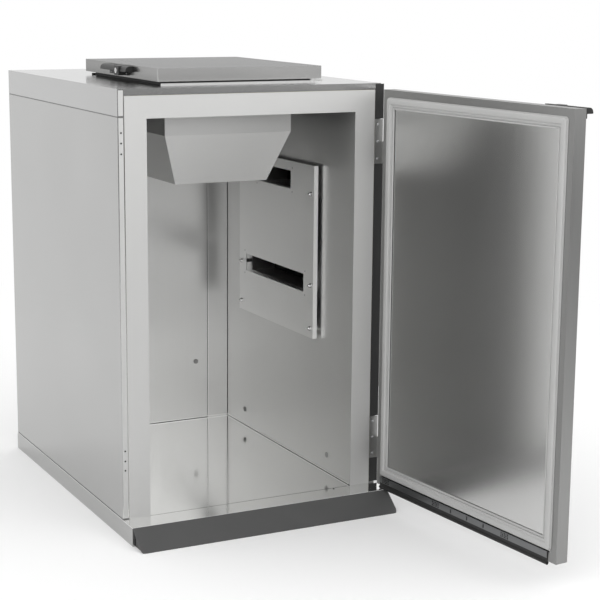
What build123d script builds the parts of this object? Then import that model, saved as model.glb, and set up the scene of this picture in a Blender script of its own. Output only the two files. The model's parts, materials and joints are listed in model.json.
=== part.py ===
"""Refrigerated waste-bin cabinet: an insulated stainless box with a full-height front door, a throw-in
lid with a hopper, a drive-in ramp and a cooling unit hung on its right side. Sizes are in millimetres.
+Z is up, the front faces -Y, and the origin is the middle of the base on the floor. The lid is drawn
shut, and the door is drawn shut and then swung open."""
import os
from math import hypot
from build123d import *

# Cabinet
CAB_W = 780  # outside width
CAB_D = 950  # outside depth, from the front frame to the back
CAB_H = 1210  # height of the body without the lid
SIDE_WALL = 80  # insulated wall at the left and right
BACK_WALL = 90
TOP_WALL = 78
SHEET = 1.5  # stainless sheet
ROUND_SIDES = 24  # flats of the round forms inside the cooling unit
SMALL_SIDES = 12  # flats of small round forms
SEAM = 3  # open joint under the cap and over the plinth
CAP_H = 72  # folded height of the cap
EDGE_STRIP = 18  # front return of the outer skins
FRAME_GAP = 0.6  # joint between the edge strip and the front frame
LINER_RETURN = 72  # part of the side liners that laps the back liner
PLINTH_H = 52
PLINTH_PROUD = 1.5
THRESHOLD = 75  # floor in front of the frame

# Drive-in ramp
RAMP_RUN = 65
RAMP_SHEET = 3
RAMP_DROP = 0.8  # the ramp's upper edge lies this far under the floor sheet
RAMP_CORNER = 12
RAMP_NOSE = 1.5  # height of the blunt lower edge
RAMP_FLANGE = 28  # height of the flange on the plinth
GUSSET_T = 3
GUSSET_INSET = 6

# Throw-in lid
LID_SIDE = 145  # from the cabinet's side to the lid
LID_W = CAB_W - 2 * LID_SIDE
LID_L = 570
LID_T = 35
LID_GAP = 11  # height of the gasket under the lid
LID_SETBACK = 80  # from the front frame to the lid's front edge
LID_CORNER = 4
LID_LIP = 12
LID_GASKET_INSET = 20
LID_GASKET_W = 15

# Hopper under the lid
HOPPER_SIDE = 53  # from the lid's side to the hopper
HOPPER_END = 85  # from the lid's front and rear to the hopper
HOPPER_W = LID_W - 2 * HOPPER_SIDE
HOPPER_L = LID_L - 2 * HOPPER_END
HOPPER_COLLAR = 142  # straight part below the cabinet's top
HOPPER_TAPER = 141
THROAT_IN = 51  # how far each tapered wall comes in
HOPPER_FLANGE = 12
HOPPER_CLEAR = 0.5

# Front door
DOOR_T = 38  # folded depth of the outer pan
DOOR_SIDE_GAP = 2.5
DOOR_TOP_GAP = 15
DOOR_FLOOR_GAP = 10
DOOR_CORNER = 3
DOOR_LIP = 24
DOOR_GASKET_T = 8
DOOR_GASKET_W = 32
DOOR_GASKET_INSET = 20
DOOR_GASKET_FOOT = 30  # inset at the bottom, over the sweep seal
DOOR_GASKET_R = 10
DOOR_OPEN_ANGLE = 95.5
GASKET_CLEAR = 0.5  # what a gasket leaves to the face that it seals

# Sweep seal along the door's lower edge
SWEEP_R = 4.7
SWEEP_WALL = 1.6
SWEEP_BAND = 2
SWEEP_BAND_H = 26
SWEEP_FREE_INSET = 32  # from the door's free edge
SWEEP_HINGE_INSET = 18
SWEEP_CLEAR = 0.5
CLAMP_T = 1.5
CLAMP_H = 17
CLAMP_SLOTS = 3
CLAMP_SLOT_W = 5
CLAMP_SLOT_H = 11
CLAMP_SLOT_PITCH = 70
CLAMP_SLOT_SHIFT = 40  # from the strip's middle towards the door's free edge

# Wing handles
HANDLE_H = 26
HANDLE_PLATE_T = 3
HOOD_H = 15
HOOD_OUT = 21
HOOD_WALL = 3
HOOD_R = 12
LID_HOOD_L = 200
LID_PLATE_L = 144
DOOR_HOOD_L = 150
DOOR_PLATE_L = 148
LOCK_BLOCK_W = 34
LOCK_BLOCK_OUT = 24
LOCK_BLOCK_R = 3
LOCK_OFFSET = 36  # from the handle's middle to the lock
LOCK_D = 15
LOCK_DEPTH = 12
LOCK_PROUD = 2
KEY_SLOT_W = 2
KEY_SLOT_L = 9
KEY_SLOT_DEPTH = 5
LID_HANDLE_DROP = 4  # from the lid's top to the hood's top
DOOR_HANDLE_RISE = 1.5  # hood's top above the door's top
DOOR_HANDLE_INSET = 1  # from the door's free edge

# Hinges
PIN_D = 5
RUNNING_CLEAR = 0.05
KNUCKLE_R = 5
LEAF_T = 2.5
LEAF_GAP = 0.5  # between the two knuckles of a hinge
DOOR_HINGE_H = 124
DOOR_PIN_OUT = 7  # pin axis outside the cabinet's side
DOOR_PIN_FORWARD = 30  # pin axis in front of the frame
DOOR_HINGE_LOW = 190  # middle of each hinge above the floor
DOOR_HINGE_HIGH = 1048
DOOR_LEAF_D = 26
LID_HINGE_W = 60
LID_HINGE_PITCH = 340
LID_PIN_OUT = 9  # pin axis beside the lid
LID_PIN_RISE = 1.5  # pin axis above the lid's underside
LID_LEAF_H = 22
LID_FOOT = 38

# Air baffle on the right inner wall, with an air mouth behind each of its slots
BAFFLE_L = 513
BAFFLE_H = 513
BAFFLE_SETBACK = 203  # from the front frame
BAFFLE_LOW = 448  # lower edge above the ground
BAFFLE_STAND = 20
BAFFLE_FLANGE = 12
MOUTH_SETBACK = 466  # middle of both mouths behind the front frame
LOW_MOUTH_L = 400
LOW_MOUTH_Z = 607
HIGH_MOUTH_L = 223
HIGH_MOUTH_Z = 905
MOUTH_H = 54
MOUTH_CLEAR = 0.3
STUD_INSET = 18  # fixings from the baffle's front and rear edges
STUD_HEIGHTS = (29, 158, 429)  # above the baffle's lower edge
SPACER_AF = 12
NUT_AF = 10
NUT_H = 9.5
NUT_BEVEL = 3.2

# Round plugs in the liner
PLUG_D = 16
PLUG_T = 2
PLUG_UP = 53  # side plugs above the floor
PLUG_SETBACKS = (145, 720)  # side plugs behind the front frame
BACK_PLUG_UP = 195
BACK_PLUG_INSET = 115  # from the right liner

# Cooling unit
UNIT_W = 290  # how far it stands out from the side
UNIT_L = 600
UNIT_H = 695
UNIT_LOW = 290  # underside above the ground
UNIT_SETBACK = 166  # from the front frame
UNIT_CORNER = 6
PERF_SIZE = 11
PERF_PITCH = 19
PERF_COLUMNS = 10
PERF_ROWS = 6
PERF_LOW = 60  # middle of the lowest row above the unit's underside
LOUVRE_COUNT = 9
LOUVRE_W = 180
LOUVRE_H = 9
LOUVRE_PITCH = 22
LOUVRE_LOW = 50

# Cold side of the unit
COLD_WALL = 25
COLD_DEPTH = 170
COLD_MARGIN = 10  # room round the air mouths
COIL_FINS = 22
FIN_T = 1.2
FIN_SHARE = 0.25  # of the coil's depth that is cut into fins on each face
EVAP_ROWS = 6
COND_ROWS = 8
EVAP_W = 110
EVAP_L = 380
EVAP_H = 150
EVAP_RAISE = 62  # coil over the lower mouth
COIL_END = 8
TUBE_D = 9
TUBE_SIDES = 6
FAN_SIDE = 120
FAN_FRAME_H = 38
FAN_CORNER = 10
FAN_MOTOR_H = 10
EVAP_FAN_R = 54
EVAP_HUB_R = 22
EVAP_FAN_GAP = 3  # blade tips to the frame
FAN_SHAFT_D = 6
SPOKE_W = 7
SPOKE_T = 4
SPOKE_SINK = 1.5  # how far the spokes run into the frame
TRAY_H = 14
TRAY_MARGIN = 4

# Warm side of the unit
COND_L = 46
COND_W = 236
COND_H = 226
COND_GAP = 14  # from the perforated front to the condenser
COND_FAN_R = 92
COND_HUB_R = 22
SHROUD_RING = 16
SHROUD_CLEAR = 4
COND_STAND = 20  # condenser from the cabinet's side
MOTOR_D = 76
MOTOR_L = 52
MOTOR_BEVEL = 5
BRACKET_T = 3
BRACKET_W = 70
BRACKET_FOOT = 35
FAN_GAP = 6
HUB_GAP = 0.5  # between a hub and what it runs against
COND_BLADES = 4
EVAP_BLADES = 5
BLADE_T = 2
BLADE_PITCH = 24
BLADE_TIP_CHORD = 0.26  # half of the tip's width over its radius
COMPRESSOR_D = 160
COMPRESSOR_H = 190
SHELL_FOOT = 20  # inset and height of the shell's lower cone
SHELL_SHOULDER = 38  # inset and height of the domed top
SHELL_CROWN = 14  # inset and height of the crown over the shoulder
COMPRESSOR_FEET = 12
COMPRESSOR_PLATE = 2.5
FOOT_D = 24
FOOT_X = 80
FOOT_Y = 130
STUB_L = 10
STUB_PITCH = 40
COMPRESSOR_SETBACK = 455  # its middle behind the unit's front
PIPE_D = 8
PIPE_SIDES = 8
PIPE_BEND = 14  # length cut from each corner of a pipe
PIPE_CLEAR = 0.5  # drier to the cold box
LIQUID_OFFSET = 80  # liquid line from the compressor's middle
DRIER_D = 20
DRIER_L = 90
THERMOSTAT_W = 50
THERMOSTAT_D = 34
THERMOSTAT_BEVEL = 3
KNOB_D = 42
KNOB_L = 18
KNOB_SHAFT_D = 6
KNOB_HOLE_CLEAR = 0.3
KNOB_BORE_L = 9
KNOB_BELOW_TOP = 70
KNOB_GAP = 1
GLAND_D = 22
GLAND_L = 24
GLAND_NUT_L = 8
GLAND_TUBE_D = 17.6
GLAND_BORE = 8
GLAND_INSET = 30

# Places that follow from the sizes above
x_out = CAB_W / 2
x_in = x_out - SIDE_WALL
y_front = (THRESHOLD - CAB_D) / 2
y_back = y_front + CAB_D
y_sill = y_front - THRESHOLD
y_in = y_back - BACK_WALL
z_floor = PLINTH_H
z_ceiling = CAB_H - TOP_WALL
z_seam = CAB_H - CAP_H
y_lid = y_front + LID_SETBACK + LID_L / 2
z_lid = CAB_H + LID_GAP
x_door = x_out - DOOR_SIDE_GAP
z_door_low = z_floor + DOOR_FLOOR_GAP
z_door_top = CAB_H - DOOR_TOP_GAP
y_door_in = y_front - DOOR_GASKET_T
y_door_out = y_door_in - DOOR_T
hinge_axis = Axis((x_out + DOOR_PIN_OUT, y_front - DOOR_PIN_FORWARD, 0), (0, 0, 1))

os.makedirs("parts", exist_ok=True)


def span(a0, a1, b0, b1, mode=Mode.ADD):
    """Rectangle between two corners of the sketch plane."""
    with Locations(((a0 + a1) / 2, (b0 + b1) / 2)):
        Rectangle(a1 - a0, b1 - b0, mode=mode)


def write(piece, node):
    """Label a finished piece and write its file."""
    piece.label = node
    export_step(piece, f"parts/{node}.step")


def write_open(piece, node):
    """Write a piece of the door, swung open about its hinge pins."""
    write(piece.rotate(hinge_axis, DOOR_OPEN_ANGLE), node)


def drum(radius, sides=ROUND_SIDES, around=False, mode=Mode.ADD):
    """Round section drawn with flats, inside its circle or around it."""
    RegularPolygon(radius, sides, major_radius=not around, mode=mode)


# Base: a tray with a folded skirt, filled with foam and covered by the floor sheet
with BuildPart() as base_tray:
    with BuildSketch():
        span(-x_out - PLINTH_PROUD, x_out + PLINTH_PROUD, y_sill, y_back + PLINTH_PROUD)
    extrude(amount=PLINTH_H - SHEET)
    offset(amount=-SHEET, openings=base_tray.faces().sort_by(Axis.Z)[-1])
write(base_tray.part, "base_tray")

with BuildPart() as floor_foam:
    with BuildSketch(Plane.XY.offset(SHEET)):
        x_foam = x_out + PLINTH_PROUD - SHEET
        span(-x_foam, x_foam, y_sill + SHEET, y_back + PLINTH_PROUD - SHEET)
    extrude(amount=PLINTH_H - 2 * SHEET)
write(floor_foam.part, "floor_foam")

with BuildPart() as floor_sheet:
    with BuildSketch(Plane.XY.offset(PLINTH_H - SHEET)):
        span(-x_out - PLINTH_PROUD, x_out + PLINTH_PROUD, y_sill, y_back + PLINTH_PROUD)
    extrude(amount=SHEET)
write(floor_sheet.part, "floor_sheet")

# Ramp: a sloping sheet with a flange on the plinth's front, on three gussets
y_ramp = y_sill - RAMP_RUN
z_ramp = PLINTH_H - RAMP_DROP
ramp_rise = z_ramp - RAMP_NOSE
ramp_thick = RAMP_SHEET * hypot(RAMP_RUN, ramp_rise) / RAMP_RUN
y_toe = y_ramp + (ramp_thick - RAMP_NOSE) * RAMP_RUN / ramp_rise
z_under = z_ramp - ramp_thick - RAMP_SHEET * ramp_rise / RAMP_RUN
with BuildPart() as ramp:
    with BuildSketch(Plane.YZ.offset(-x_out)):
        with BuildLine():
            Polyline(
                (y_ramp, 0),
                (y_ramp, RAMP_NOSE),
                (y_sill, z_ramp),
                (y_sill, z_ramp - RAMP_FLANGE),
                (y_sill - RAMP_SHEET, z_ramp - RAMP_FLANGE),
                (y_sill - RAMP_SHEET, z_under),
                (y_toe, 0),
                close=True,
            )
        make_face()
    extrude(amount=CAB_W)
    with BuildSketch() as outline:
        span(-x_out, x_out, y_ramp, y_sill)
        fillet(outline.vertices().group_by(Axis.Y)[0], radius=RAMP_CORNER)
    extrude(amount=PLINTH_H, mode=Mode.INTERSECT)
    for x_gusset in (-x_out + GUSSET_INSET, -GUSSET_T / 2, x_out - GUSSET_INSET - GUSSET_T):
        with BuildSketch(Plane.YZ.offset(x_gusset)):
            with BuildLine():
                Polyline(
                    (y_toe + RAMP_CORNER, 0),
                    (y_sill - RAMP_SHEET, 0),
                    (y_sill - RAMP_SHEET, z_under),
                    close=True,
                )
            make_face()
        extrude(amount=GUSSET_T)
write(ramp.part, "ramp")


def mouth_sketch(grow=0.0):
    """Both air mouths in the right wall's plane, grown all round."""
    with BuildSketch(Plane.YZ) as mouths:
        for length, z_mid in ((LOW_MOUTH_L, LOW_MOUTH_Z), (HIGH_MOUTH_L, HIGH_MOUTH_Z)):
            with Locations((y_front + MOUTH_SETBACK, z_mid)):
                Rectangle(length + 2 * grow, MOUTH_H + 2 * grow)
    return mouths.sketch


sleeve_holes = mouth_sketch(SHEET + MOUTH_CLEAR)

# Outer skins, with the narrow strip folded round the front edge
z_skin = z_floor + SEAM
skin_h = z_seam - SEAM / 2 - z_skin
with BuildPart() as left_outer_panel:
    with BuildSketch(Plane.XY.offset(z_skin)):
        span(-x_out, -x_out + SHEET, y_front, y_back)
        span(-x_out, -x_out + EDGE_STRIP, y_front, y_front + SHEET)
    extrude(amount=skin_h)
write(left_outer_panel.part, "left_outer_panel")

with BuildPart() as right_outer_panel:
    mirror(left_outer_panel.part, about=Plane.YZ)
    extrude(sleeve_holes, amount=CAB_W, mode=Mode.SUBTRACT)
write(right_outer_panel.part, "right_outer_panel")

with BuildPart() as back_outer_panel:
    with BuildSketch(Plane.XY.offset(z_skin)):
        span(-x_out + SHEET, x_out - SHEET, y_back - SHEET, y_back)
    extrude(amount=skin_h)
write(back_outer_panel.part, "back_outer_panel")

# Insulation between the skins and the liner
with BuildPart() as wall_foam:
    with BuildSketch(Plane.XY.offset(z_floor)):
        span(-x_out + SHEET, x_out - SHEET, y_front + SHEET, y_back - SHEET)
        span(-x_in - SHEET, x_in + SHEET, y_front, y_in + SHEET, mode=Mode.SUBTRACT)
    extrude(amount=z_ceiling - z_floor)
    extrude(sleeve_holes, amount=CAB_W, mode=Mode.SUBTRACT)
write(wall_foam.part, "wall_foam")

# Top: the hopper's opening goes through the ceiling sheet, the foam and the cap
hopper_plane = Plane((0, y_lid, CAB_H))


def hopper_hole(depth):
    """Cut the hopper's opening downwards from the cabinet's top."""
    with BuildSketch(hopper_plane) as hole:
        Rectangle(HOPPER_W + 2 * HOPPER_CLEAR, HOPPER_L + 2 * HOPPER_CLEAR)
    extrude(hole.sketch, amount=-depth, mode=Mode.SUBTRACT)


with BuildPart() as ceiling_liner:
    with BuildSketch(Plane.XY.offset(z_ceiling)):
        span(-x_out + SHEET, x_out - SHEET, y_front + SHEET, y_back - SHEET)
    extrude(amount=SHEET)
    hopper_hole(TOP_WALL)
write(ceiling_liner.part, "ceiling_liner")

with BuildPart() as top_foam:
    with BuildSketch(Plane.XY.offset(z_ceiling + SHEET)):
        span(-x_out + SHEET, x_out - SHEET, y_front + SHEET, y_back - SHEET)
    extrude(amount=TOP_WALL - 2 * SHEET)
    hopper_hole(TOP_WALL)
write(top_foam.part, "top_foam")

with BuildPart() as top_cap:
    with BuildSketch(Plane.XY.offset(z_seam + SEAM / 2)):
        span(-x_out, x_out, y_front, y_back)
    extrude(amount=CAP_H - SEAM / 2)
    offset(amount=-SHEET, openings=top_cap.faces().sort_by(Axis.Z)[0])
    with BuildSketch(Plane.XZ.offset(-y_front)):
        span(-x_out + EDGE_STRIP, x_out - EDGE_STRIP, z_ceiling, CAB_H - EDGE_STRIP)
    extrude(amount=-SHEET, mode=Mode.SUBTRACT)
    hopper_hole(SHEET)
write(top_cap.part, "top_cap")

# Front frame that the door's gasket seals on
with BuildPart() as front_frame:
    with BuildSketch(Plane.XZ.offset(-y_front)):
        x_frame = x_out - EDGE_STRIP - FRAME_GAP
        span(-x_frame, x_frame, z_floor, CAB_H - EDGE_STRIP - FRAME_GAP)
        span(-x_in, x_in, z_floor, z_ceiling, mode=Mode.SUBTRACT)
    extrude(amount=-SHEET)
write(front_frame.part, "front_frame")

# Liner sheets; the side liners lap the back liner
with BuildPart() as left_liner:
    with BuildSketch(Plane.XY.offset(z_floor)):
        span(-x_in - SHEET, -x_in, y_front + SHEET, y_in)
        span(-x_in - SHEET, -x_in + LINER_RETURN, y_in - SHEET, y_in)
    extrude(amount=z_ceiling - z_floor)
write(left_liner.part, "left_liner")

with BuildPart() as right_liner:
    mirror(left_liner.part, about=Plane.YZ)
    extrude(sleeve_holes, amount=CAB_W, mode=Mode.SUBTRACT)
write(right_liner.part, "right_liner")

with BuildPart() as back_liner:
    with BuildSketch(Plane.XY.offset(z_floor)):
        span(-x_in - SHEET, x_in + SHEET, y_in, y_in + SHEET)
    extrude(amount=z_ceiling - z_floor)
write(back_liner.part, "back_liner")

# Round plugs that close the foaming holes of the liner
with BuildPart() as liner_plugs:
    with BuildSketch(Plane.XZ.offset(-y_in)):
        with Locations((x_in - BACK_PLUG_INSET, z_floor + BACK_PLUG_UP)):
            Circle(PLUG_D / 2)
    extrude(amount=PLUG_T)
    with BuildSketch(Plane.YZ.offset(x_in)):
        with Locations(*[(y_front + setback, z_floor + PLUG_UP) for setback in PLUG_SETBACKS]):
            Circle(PLUG_D / 2)
    extrude(amount=-PLUG_T)
write(liner_plugs.part, "liner_plugs")

# Sleeves that line the two air mouths through the wall
with BuildPart() as duct_sleeves:
    extrude(mouth_sketch(SHEET), amount=x_out)
    extrude(mouth_sketch(), amount=x_out, mode=Mode.SUBTRACT)
    split(bisect_by=Plane.YZ.offset(x_in), keep=Keep.TOP)
write(duct_sleeves.part, "duct_sleeves")

# Air baffle on spacers, held by acorn nuts
y_baffle = y_front + BAFFLE_SETBACK
x_baffle = x_in - BAFFLE_STAND
stud_rows = [BAFFLE_LOW + height for height in STUD_HEIGHTS]
stud_places = [
    (y, z) for y in (y_baffle + STUD_INSET, y_baffle + BAFFLE_L - STUD_INSET) for z in stud_rows
]
with BuildPart() as air_baffle:
    with BuildSketch(Plane.YZ.offset(x_baffle)):
        span(y_baffle, y_baffle + BAFFLE_L, BAFFLE_LOW, BAFFLE_LOW + BAFFLE_H)
    extrude(amount=-SHEET)
    with BuildSketch(Plane.XY.offset(BAFFLE_LOW)):
        span(x_baffle - SHEET, x_baffle + BAFFLE_FLANGE, y_baffle, y_baffle + SHEET)
    extrude(amount=BAFFLE_H)
    extrude(mouth_sketch(), amount=x_in, mode=Mode.SUBTRACT)
write(air_baffle.part, "air_baffle")

with BuildPart() as baffle_spacers:
    with BuildSketch(Plane.YZ.offset(x_in)):
        with Locations(*stud_places):
            drum(SPACER_AF / 2, 6, around=True)
    extrude(amount=-BAFFLE_STAND)
write(baffle_spacers.part, "baffle_spacers")

x_nut = x_baffle - SHEET
with BuildPart() as acorn_nuts:
    with BuildSketch(Plane.YZ.offset(x_nut)):
        with Locations(*stud_places):
            drum(NUT_AF / 2, 6, around=True)
    extrude(amount=-NUT_H)
    nut_faces = acorn_nuts.faces().group_by(Axis.X)[0]
    chamfer(nut_faces.edges(), length=NUT_BEVEL)
write(acorn_nuts.part, "acorn_nuts")

# Hopper: flange on the cap, straight collar and tapered throat, open at both ends
with BuildPart() as hopper:
    with BuildSketch(hopper_plane.offset(SHEET)):
        Rectangle(HOPPER_W, HOPPER_L)
    extrude(amount=-SHEET - HOPPER_COLLAR - HOPPER_TAPER)
    throat = hopper.faces().sort_by(Axis.Z)[0]
    chamfer(throat.edges(), length=THROAT_IN, length2=HOPPER_TAPER, reference=throat)
    ends = hopper.faces().sort_by(Axis.Z)
    offset(amount=-SHEET, openings=[ends[0], ends[-1]])
    with BuildSketch(hopper_plane):
        Rectangle(HOPPER_W + 2 * HOPPER_FLANGE, HOPPER_L + 2 * HOPPER_FLANGE)
        Rectangle(HOPPER_W - 2 * SHEET, HOPPER_L - 2 * SHEET, mode=Mode.SUBTRACT)
    extrude(amount=SHEET)
write(hopper.part, "hopper")

# Lid: folded pan, inner sheet, foam and a gasket ring
lid_plane = Plane((0, y_lid, z_lid))
with BuildPart() as lid_outer_pan:
    with BuildSketch(lid_plane):
        RectangleRounded(LID_W, LID_L, LID_CORNER)
    extrude(amount=LID_T)
    offset(amount=-SHEET, openings=lid_outer_pan.faces().sort_by(Axis.Z)[0])
    with BuildSketch(lid_plane):
        RectangleRounded(LID_W, LID_L, LID_CORNER)
        Rectangle(LID_W - 2 * LID_LIP, LID_L - 2 * LID_LIP, mode=Mode.SUBTRACT)
    extrude(amount=SHEET)
write(lid_outer_pan.part, "lid_outer_pan")


def lid_filling(low, height):
    """Layer inside the lid's pan."""
    with BuildSketch(lid_plane.offset(low)) as layer:
        RectangleRounded(LID_W - 2 * SHEET, LID_L - 2 * SHEET, LID_CORNER - SHEET)
    extrude(layer.sketch, amount=height)


with BuildPart() as lid_inner_panel:
    lid_filling(SHEET, SHEET)
write(lid_inner_panel.part, "lid_inner_panel")

with BuildPart() as lid_foam:
    lid_filling(2 * SHEET, LID_T - 3 * SHEET)
write(lid_foam.part, "lid_foam")

with BuildPart() as lid_gasket:
    with BuildSketch(lid_plane):
        ring_w = LID_W - 2 * LID_GASKET_INSET
        ring_l = LID_L - 2 * LID_GASKET_INSET
        RectangleRounded(ring_w, ring_l, LID_GASKET_W)
        Rectangle(ring_w - 2 * LID_GASKET_W, ring_l - 2 * LID_GASKET_W, mode=Mode.SUBTRACT)
    extrude(amount=GASKET_CLEAR - LID_GAP)
write(lid_gasket.part, "lid_gasket")


def wing_handle(place, hood_l, plate_l):
    """Moulded pull: screwed plate, hood with a finger hollow and a lock housing. The place is the middle
    of the hood's top edge on the carrying face, with x along the hood, y up and z outwards."""
    start = place.origin - place.x_dir * (hood_l / 2)
    section = Plane(start, x_dir=place.z_dir, z_dir=place.x_dir)
    with BuildPart() as handle:
        with BuildSketch(section) as hood:
            span(0, HOOD_OUT, 0, HOOD_H)
            fillet(hood.vertices().group_by(Axis.X)[-1].sort_by(Axis.Y)[0], radius=HOOD_R)
        extrude(amount=hood_l)
        with BuildSketch(section.offset(HOOD_WALL)) as hollow:
            span(HOOD_WALL, HOOD_OUT - HOOD_WALL, HOOD_WALL, HOOD_H)
            fillet(hollow.vertices().group_by(Axis.X)[-1].sort_by(Axis.Y)[0], radius=HOOD_R - HOOD_WALL)
        extrude(amount=hood_l - 2 * HOOD_WALL, mode=Mode.SUBTRACT)
        with BuildSketch(place):
            span(-plate_l / 2, plate_l / 2, -HANDLE_H, 0)
        extrude(amount=HANDLE_PLATE_T)
        with BuildSketch(place):
            with Locations((LOCK_OFFSET, -HANDLE_H / 2)):
                RectangleRounded(LOCK_BLOCK_W, HANDLE_H, LOCK_BLOCK_R)
        extrude(amount=LOCK_BLOCK_OUT)
        with BuildSketch(place.offset(LOCK_BLOCK_OUT)):
            with Locations((LOCK_OFFSET, -HANDLE_H / 2)):
                Circle(LOCK_D / 2 + RUNNING_CLEAR)
        extrude(amount=-LOCK_DEPTH, mode=Mode.SUBTRACT)
    return handle.part


def lock_barrel(place):
    """Key cylinder that turns in the lock housing of a wing handle."""
    face = place.offset(LOCK_BLOCK_OUT + LOCK_PROUD)
    with BuildPart() as barrel:
        with BuildSketch(face):
            with Locations((LOCK_OFFSET, -HANDLE_H / 2)):
                Circle(LOCK_D / 2)
        extrude(amount=RUNNING_CLEAR - LOCK_DEPTH - LOCK_PROUD)
        with BuildSketch(face):
            with Locations((LOCK_OFFSET, -HANDLE_H / 2)):
                Rectangle(KEY_SLOT_W, KEY_SLOT_L)
        extrude(amount=-KEY_SLOT_DEPTH, mode=Mode.SUBTRACT)
    return barrel.part


lid_handle_place = Plane(
    (-LID_W / 2, y_lid, z_lid + LID_T - LID_HANDLE_DROP), x_dir=(0, -1, 0), z_dir=(-1, 0, 0)
)
write(wing_handle(lid_handle_place, LID_HOOD_L, LID_PLATE_L), "lid_handle")
write(lock_barrel(lid_handle_place), "lid_lock_barrel")

# Door: folded pan with lips, inner sheet, foam and a gasket ring
door_face = Plane.XZ.offset(-y_door_in)
with BuildPart() as door_outer_pan:
    with BuildSketch(door_face):
        span(-x_door, x_door, z_door_low, z_door_top)
    extrude(amount=DOOR_T)
    front_edges = door_outer_pan.edges().group_by(Axis.Y)[0]
    fillet(front_edges, radius=DOOR_CORNER)
    offset(amount=-SHEET, openings=door_outer_pan.faces().sort_by(Axis.Y)[-1])
    with BuildSketch(door_face):
        span(-x_door, x_door, z_door_low, z_door_top)
        span(
            -x_door + DOOR_LIP,
            x_door - DOOR_LIP,
            z_door_low + DOOR_LIP,
            z_door_top - DOOR_LIP,
            mode=Mode.SUBTRACT,
        )
    extrude(amount=SHEET)
write_open(door_outer_pan.part, "door_outer_pan")

with BuildPart() as door_inner_panel:
    with BuildSketch(door_face.offset(SHEET)):
        span(-x_door + SHEET, x_door - SHEET, z_door_low + SHEET, z_door_top - SHEET)
    extrude(amount=SHEET)
write_open(door_inner_panel.part, "door_inner_panel")

with BuildPart() as door_foam:
    with BuildSketch(door_face.offset(2 * SHEET)):
        span(-x_door + SHEET, x_door - SHEET, z_door_low + SHEET, z_door_top - SHEET)
    extrude(amount=DOOR_T - 3 * SHEET)
    fillet(door_foam.edges().group_by(Axis.Y)[0], radius=DOOR_CORNER - SHEET)
write_open(door_foam.part, "door_foam")

with BuildPart() as door_gasket:
    with BuildSketch(door_face) as gasket_ring:
        inset = DOOR_GASKET_INSET
        span(-x_door + inset, x_door - inset, z_door_low + DOOR_GASKET_FOOT, z_door_top - inset)
        fillet(gasket_ring.vertices(), radius=DOOR_GASKET_R)
        inset = DOOR_GASKET_INSET + DOOR_GASKET_W
        z_ring_low = z_door_low + DOOR_GASKET_FOOT + DOOR_GASKET_W
        span(-x_door + inset, x_door - inset, z_ring_low, z_door_top - inset, mode=Mode.SUBTRACT)
    extrude(amount=GASKET_CLEAR - DOOR_GASKET_T)
write_open(door_gasket.part, "door_gasket")

# Sweep seal: rubber band with a hollow bulb, and the strip that clamps it on the door
sweep_start = Plane.YZ.offset(-x_door + SWEEP_FREE_INSET)
sweep_l = 2 * x_door - SWEEP_FREE_INSET - SWEEP_HINGE_INSET
z_bulb = z_floor + SWEEP_CLEAR + SWEEP_R
y_bulb = y_door_in + SWEEP_BAND / 2
with BuildPart() as door_sweep_seal:
    with BuildSketch(sweep_start):
        span(y_door_in, y_door_in + SWEEP_BAND, z_bulb, z_door_low + SWEEP_BAND_H)
        with Locations((y_bulb, z_bulb)):
            Circle(SWEEP_R)
            Circle(SWEEP_R - SWEEP_WALL, mode=Mode.SUBTRACT)
    extrude(amount=sweep_l)
write_open(door_sweep_seal.part, "door_sweep_seal")

with BuildPart() as door_sweep_clamp:
    with BuildSketch(Plane.XZ.offset(-y_door_in - SWEEP_BAND)):
        z_clamp = z_door_low + SWEEP_BAND_H
        x_clamp = -x_door + SWEEP_FREE_INSET
        span(x_clamp, x_clamp + sweep_l, z_clamp - CLAMP_H, z_clamp)
        with Locations((x_clamp + sweep_l / 2 - CLAMP_SLOT_SHIFT, z_clamp - CLAMP_H / 2)):
            with GridLocations(CLAMP_SLOT_PITCH, CLAMP_H, CLAMP_SLOTS, 1):
                Rectangle(CLAMP_SLOT_W, CLAMP_SLOT_H, mode=Mode.SUBTRACT)
    extrude(amount=-CLAMP_T)
write_open(door_sweep_clamp.part, "door_sweep_clamp")

door_handle_place = Plane(
    (-x_door + DOOR_HANDLE_INSET + DOOR_HOOD_L / 2, y_door_out, z_door_top + DOOR_HANDLE_RISE),
    x_dir=(1, 0, 0),
    z_dir=(0, -1, 0),
)
write_open(wing_handle(door_handle_place, DOOR_HOOD_L, DOOR_PLATE_L), "door_handle")
write_open(lock_barrel(door_handle_place), "door_lock_barrel")

# Door hinges: the frame leaf carries the pin, the door leaf drops onto its upper half
x_pin = x_out + DOOR_PIN_OUT
y_pin = y_front - DOOR_PIN_FORWARD
hinge_lows = [z - DOOR_HINGE_H / 2 for z in (DOOR_HINGE_LOW, DOOR_HINGE_HIGH)]
knuckle_h = (DOOR_HINGE_H - LEAF_GAP) / 2
bore_r = PIN_D / 2 + RUNNING_CLEAR
with BuildPart() as door_hinge_frame_leaves:
    for z_low in hinge_lows:
        with BuildSketch(Plane.XY.offset(z_low)):
            span(x_out - EDGE_STRIP, x_pin, y_front - LEAF_T, y_front)
        extrude(amount=DOOR_HINGE_H)
        with BuildSketch(Plane.XY.offset(z_low)):
            span(x_pin - LEAF_T, x_pin, y_pin, y_front)
            with Locations((x_pin, y_pin)):
                drum(KNUCKLE_R, SMALL_SIDES)
                Circle(bore_r, mode=Mode.SUBTRACT)
        extrude(amount=knuckle_h)
write(door_hinge_frame_leaves.part, "door_hinge_frame_leaves")

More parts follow.
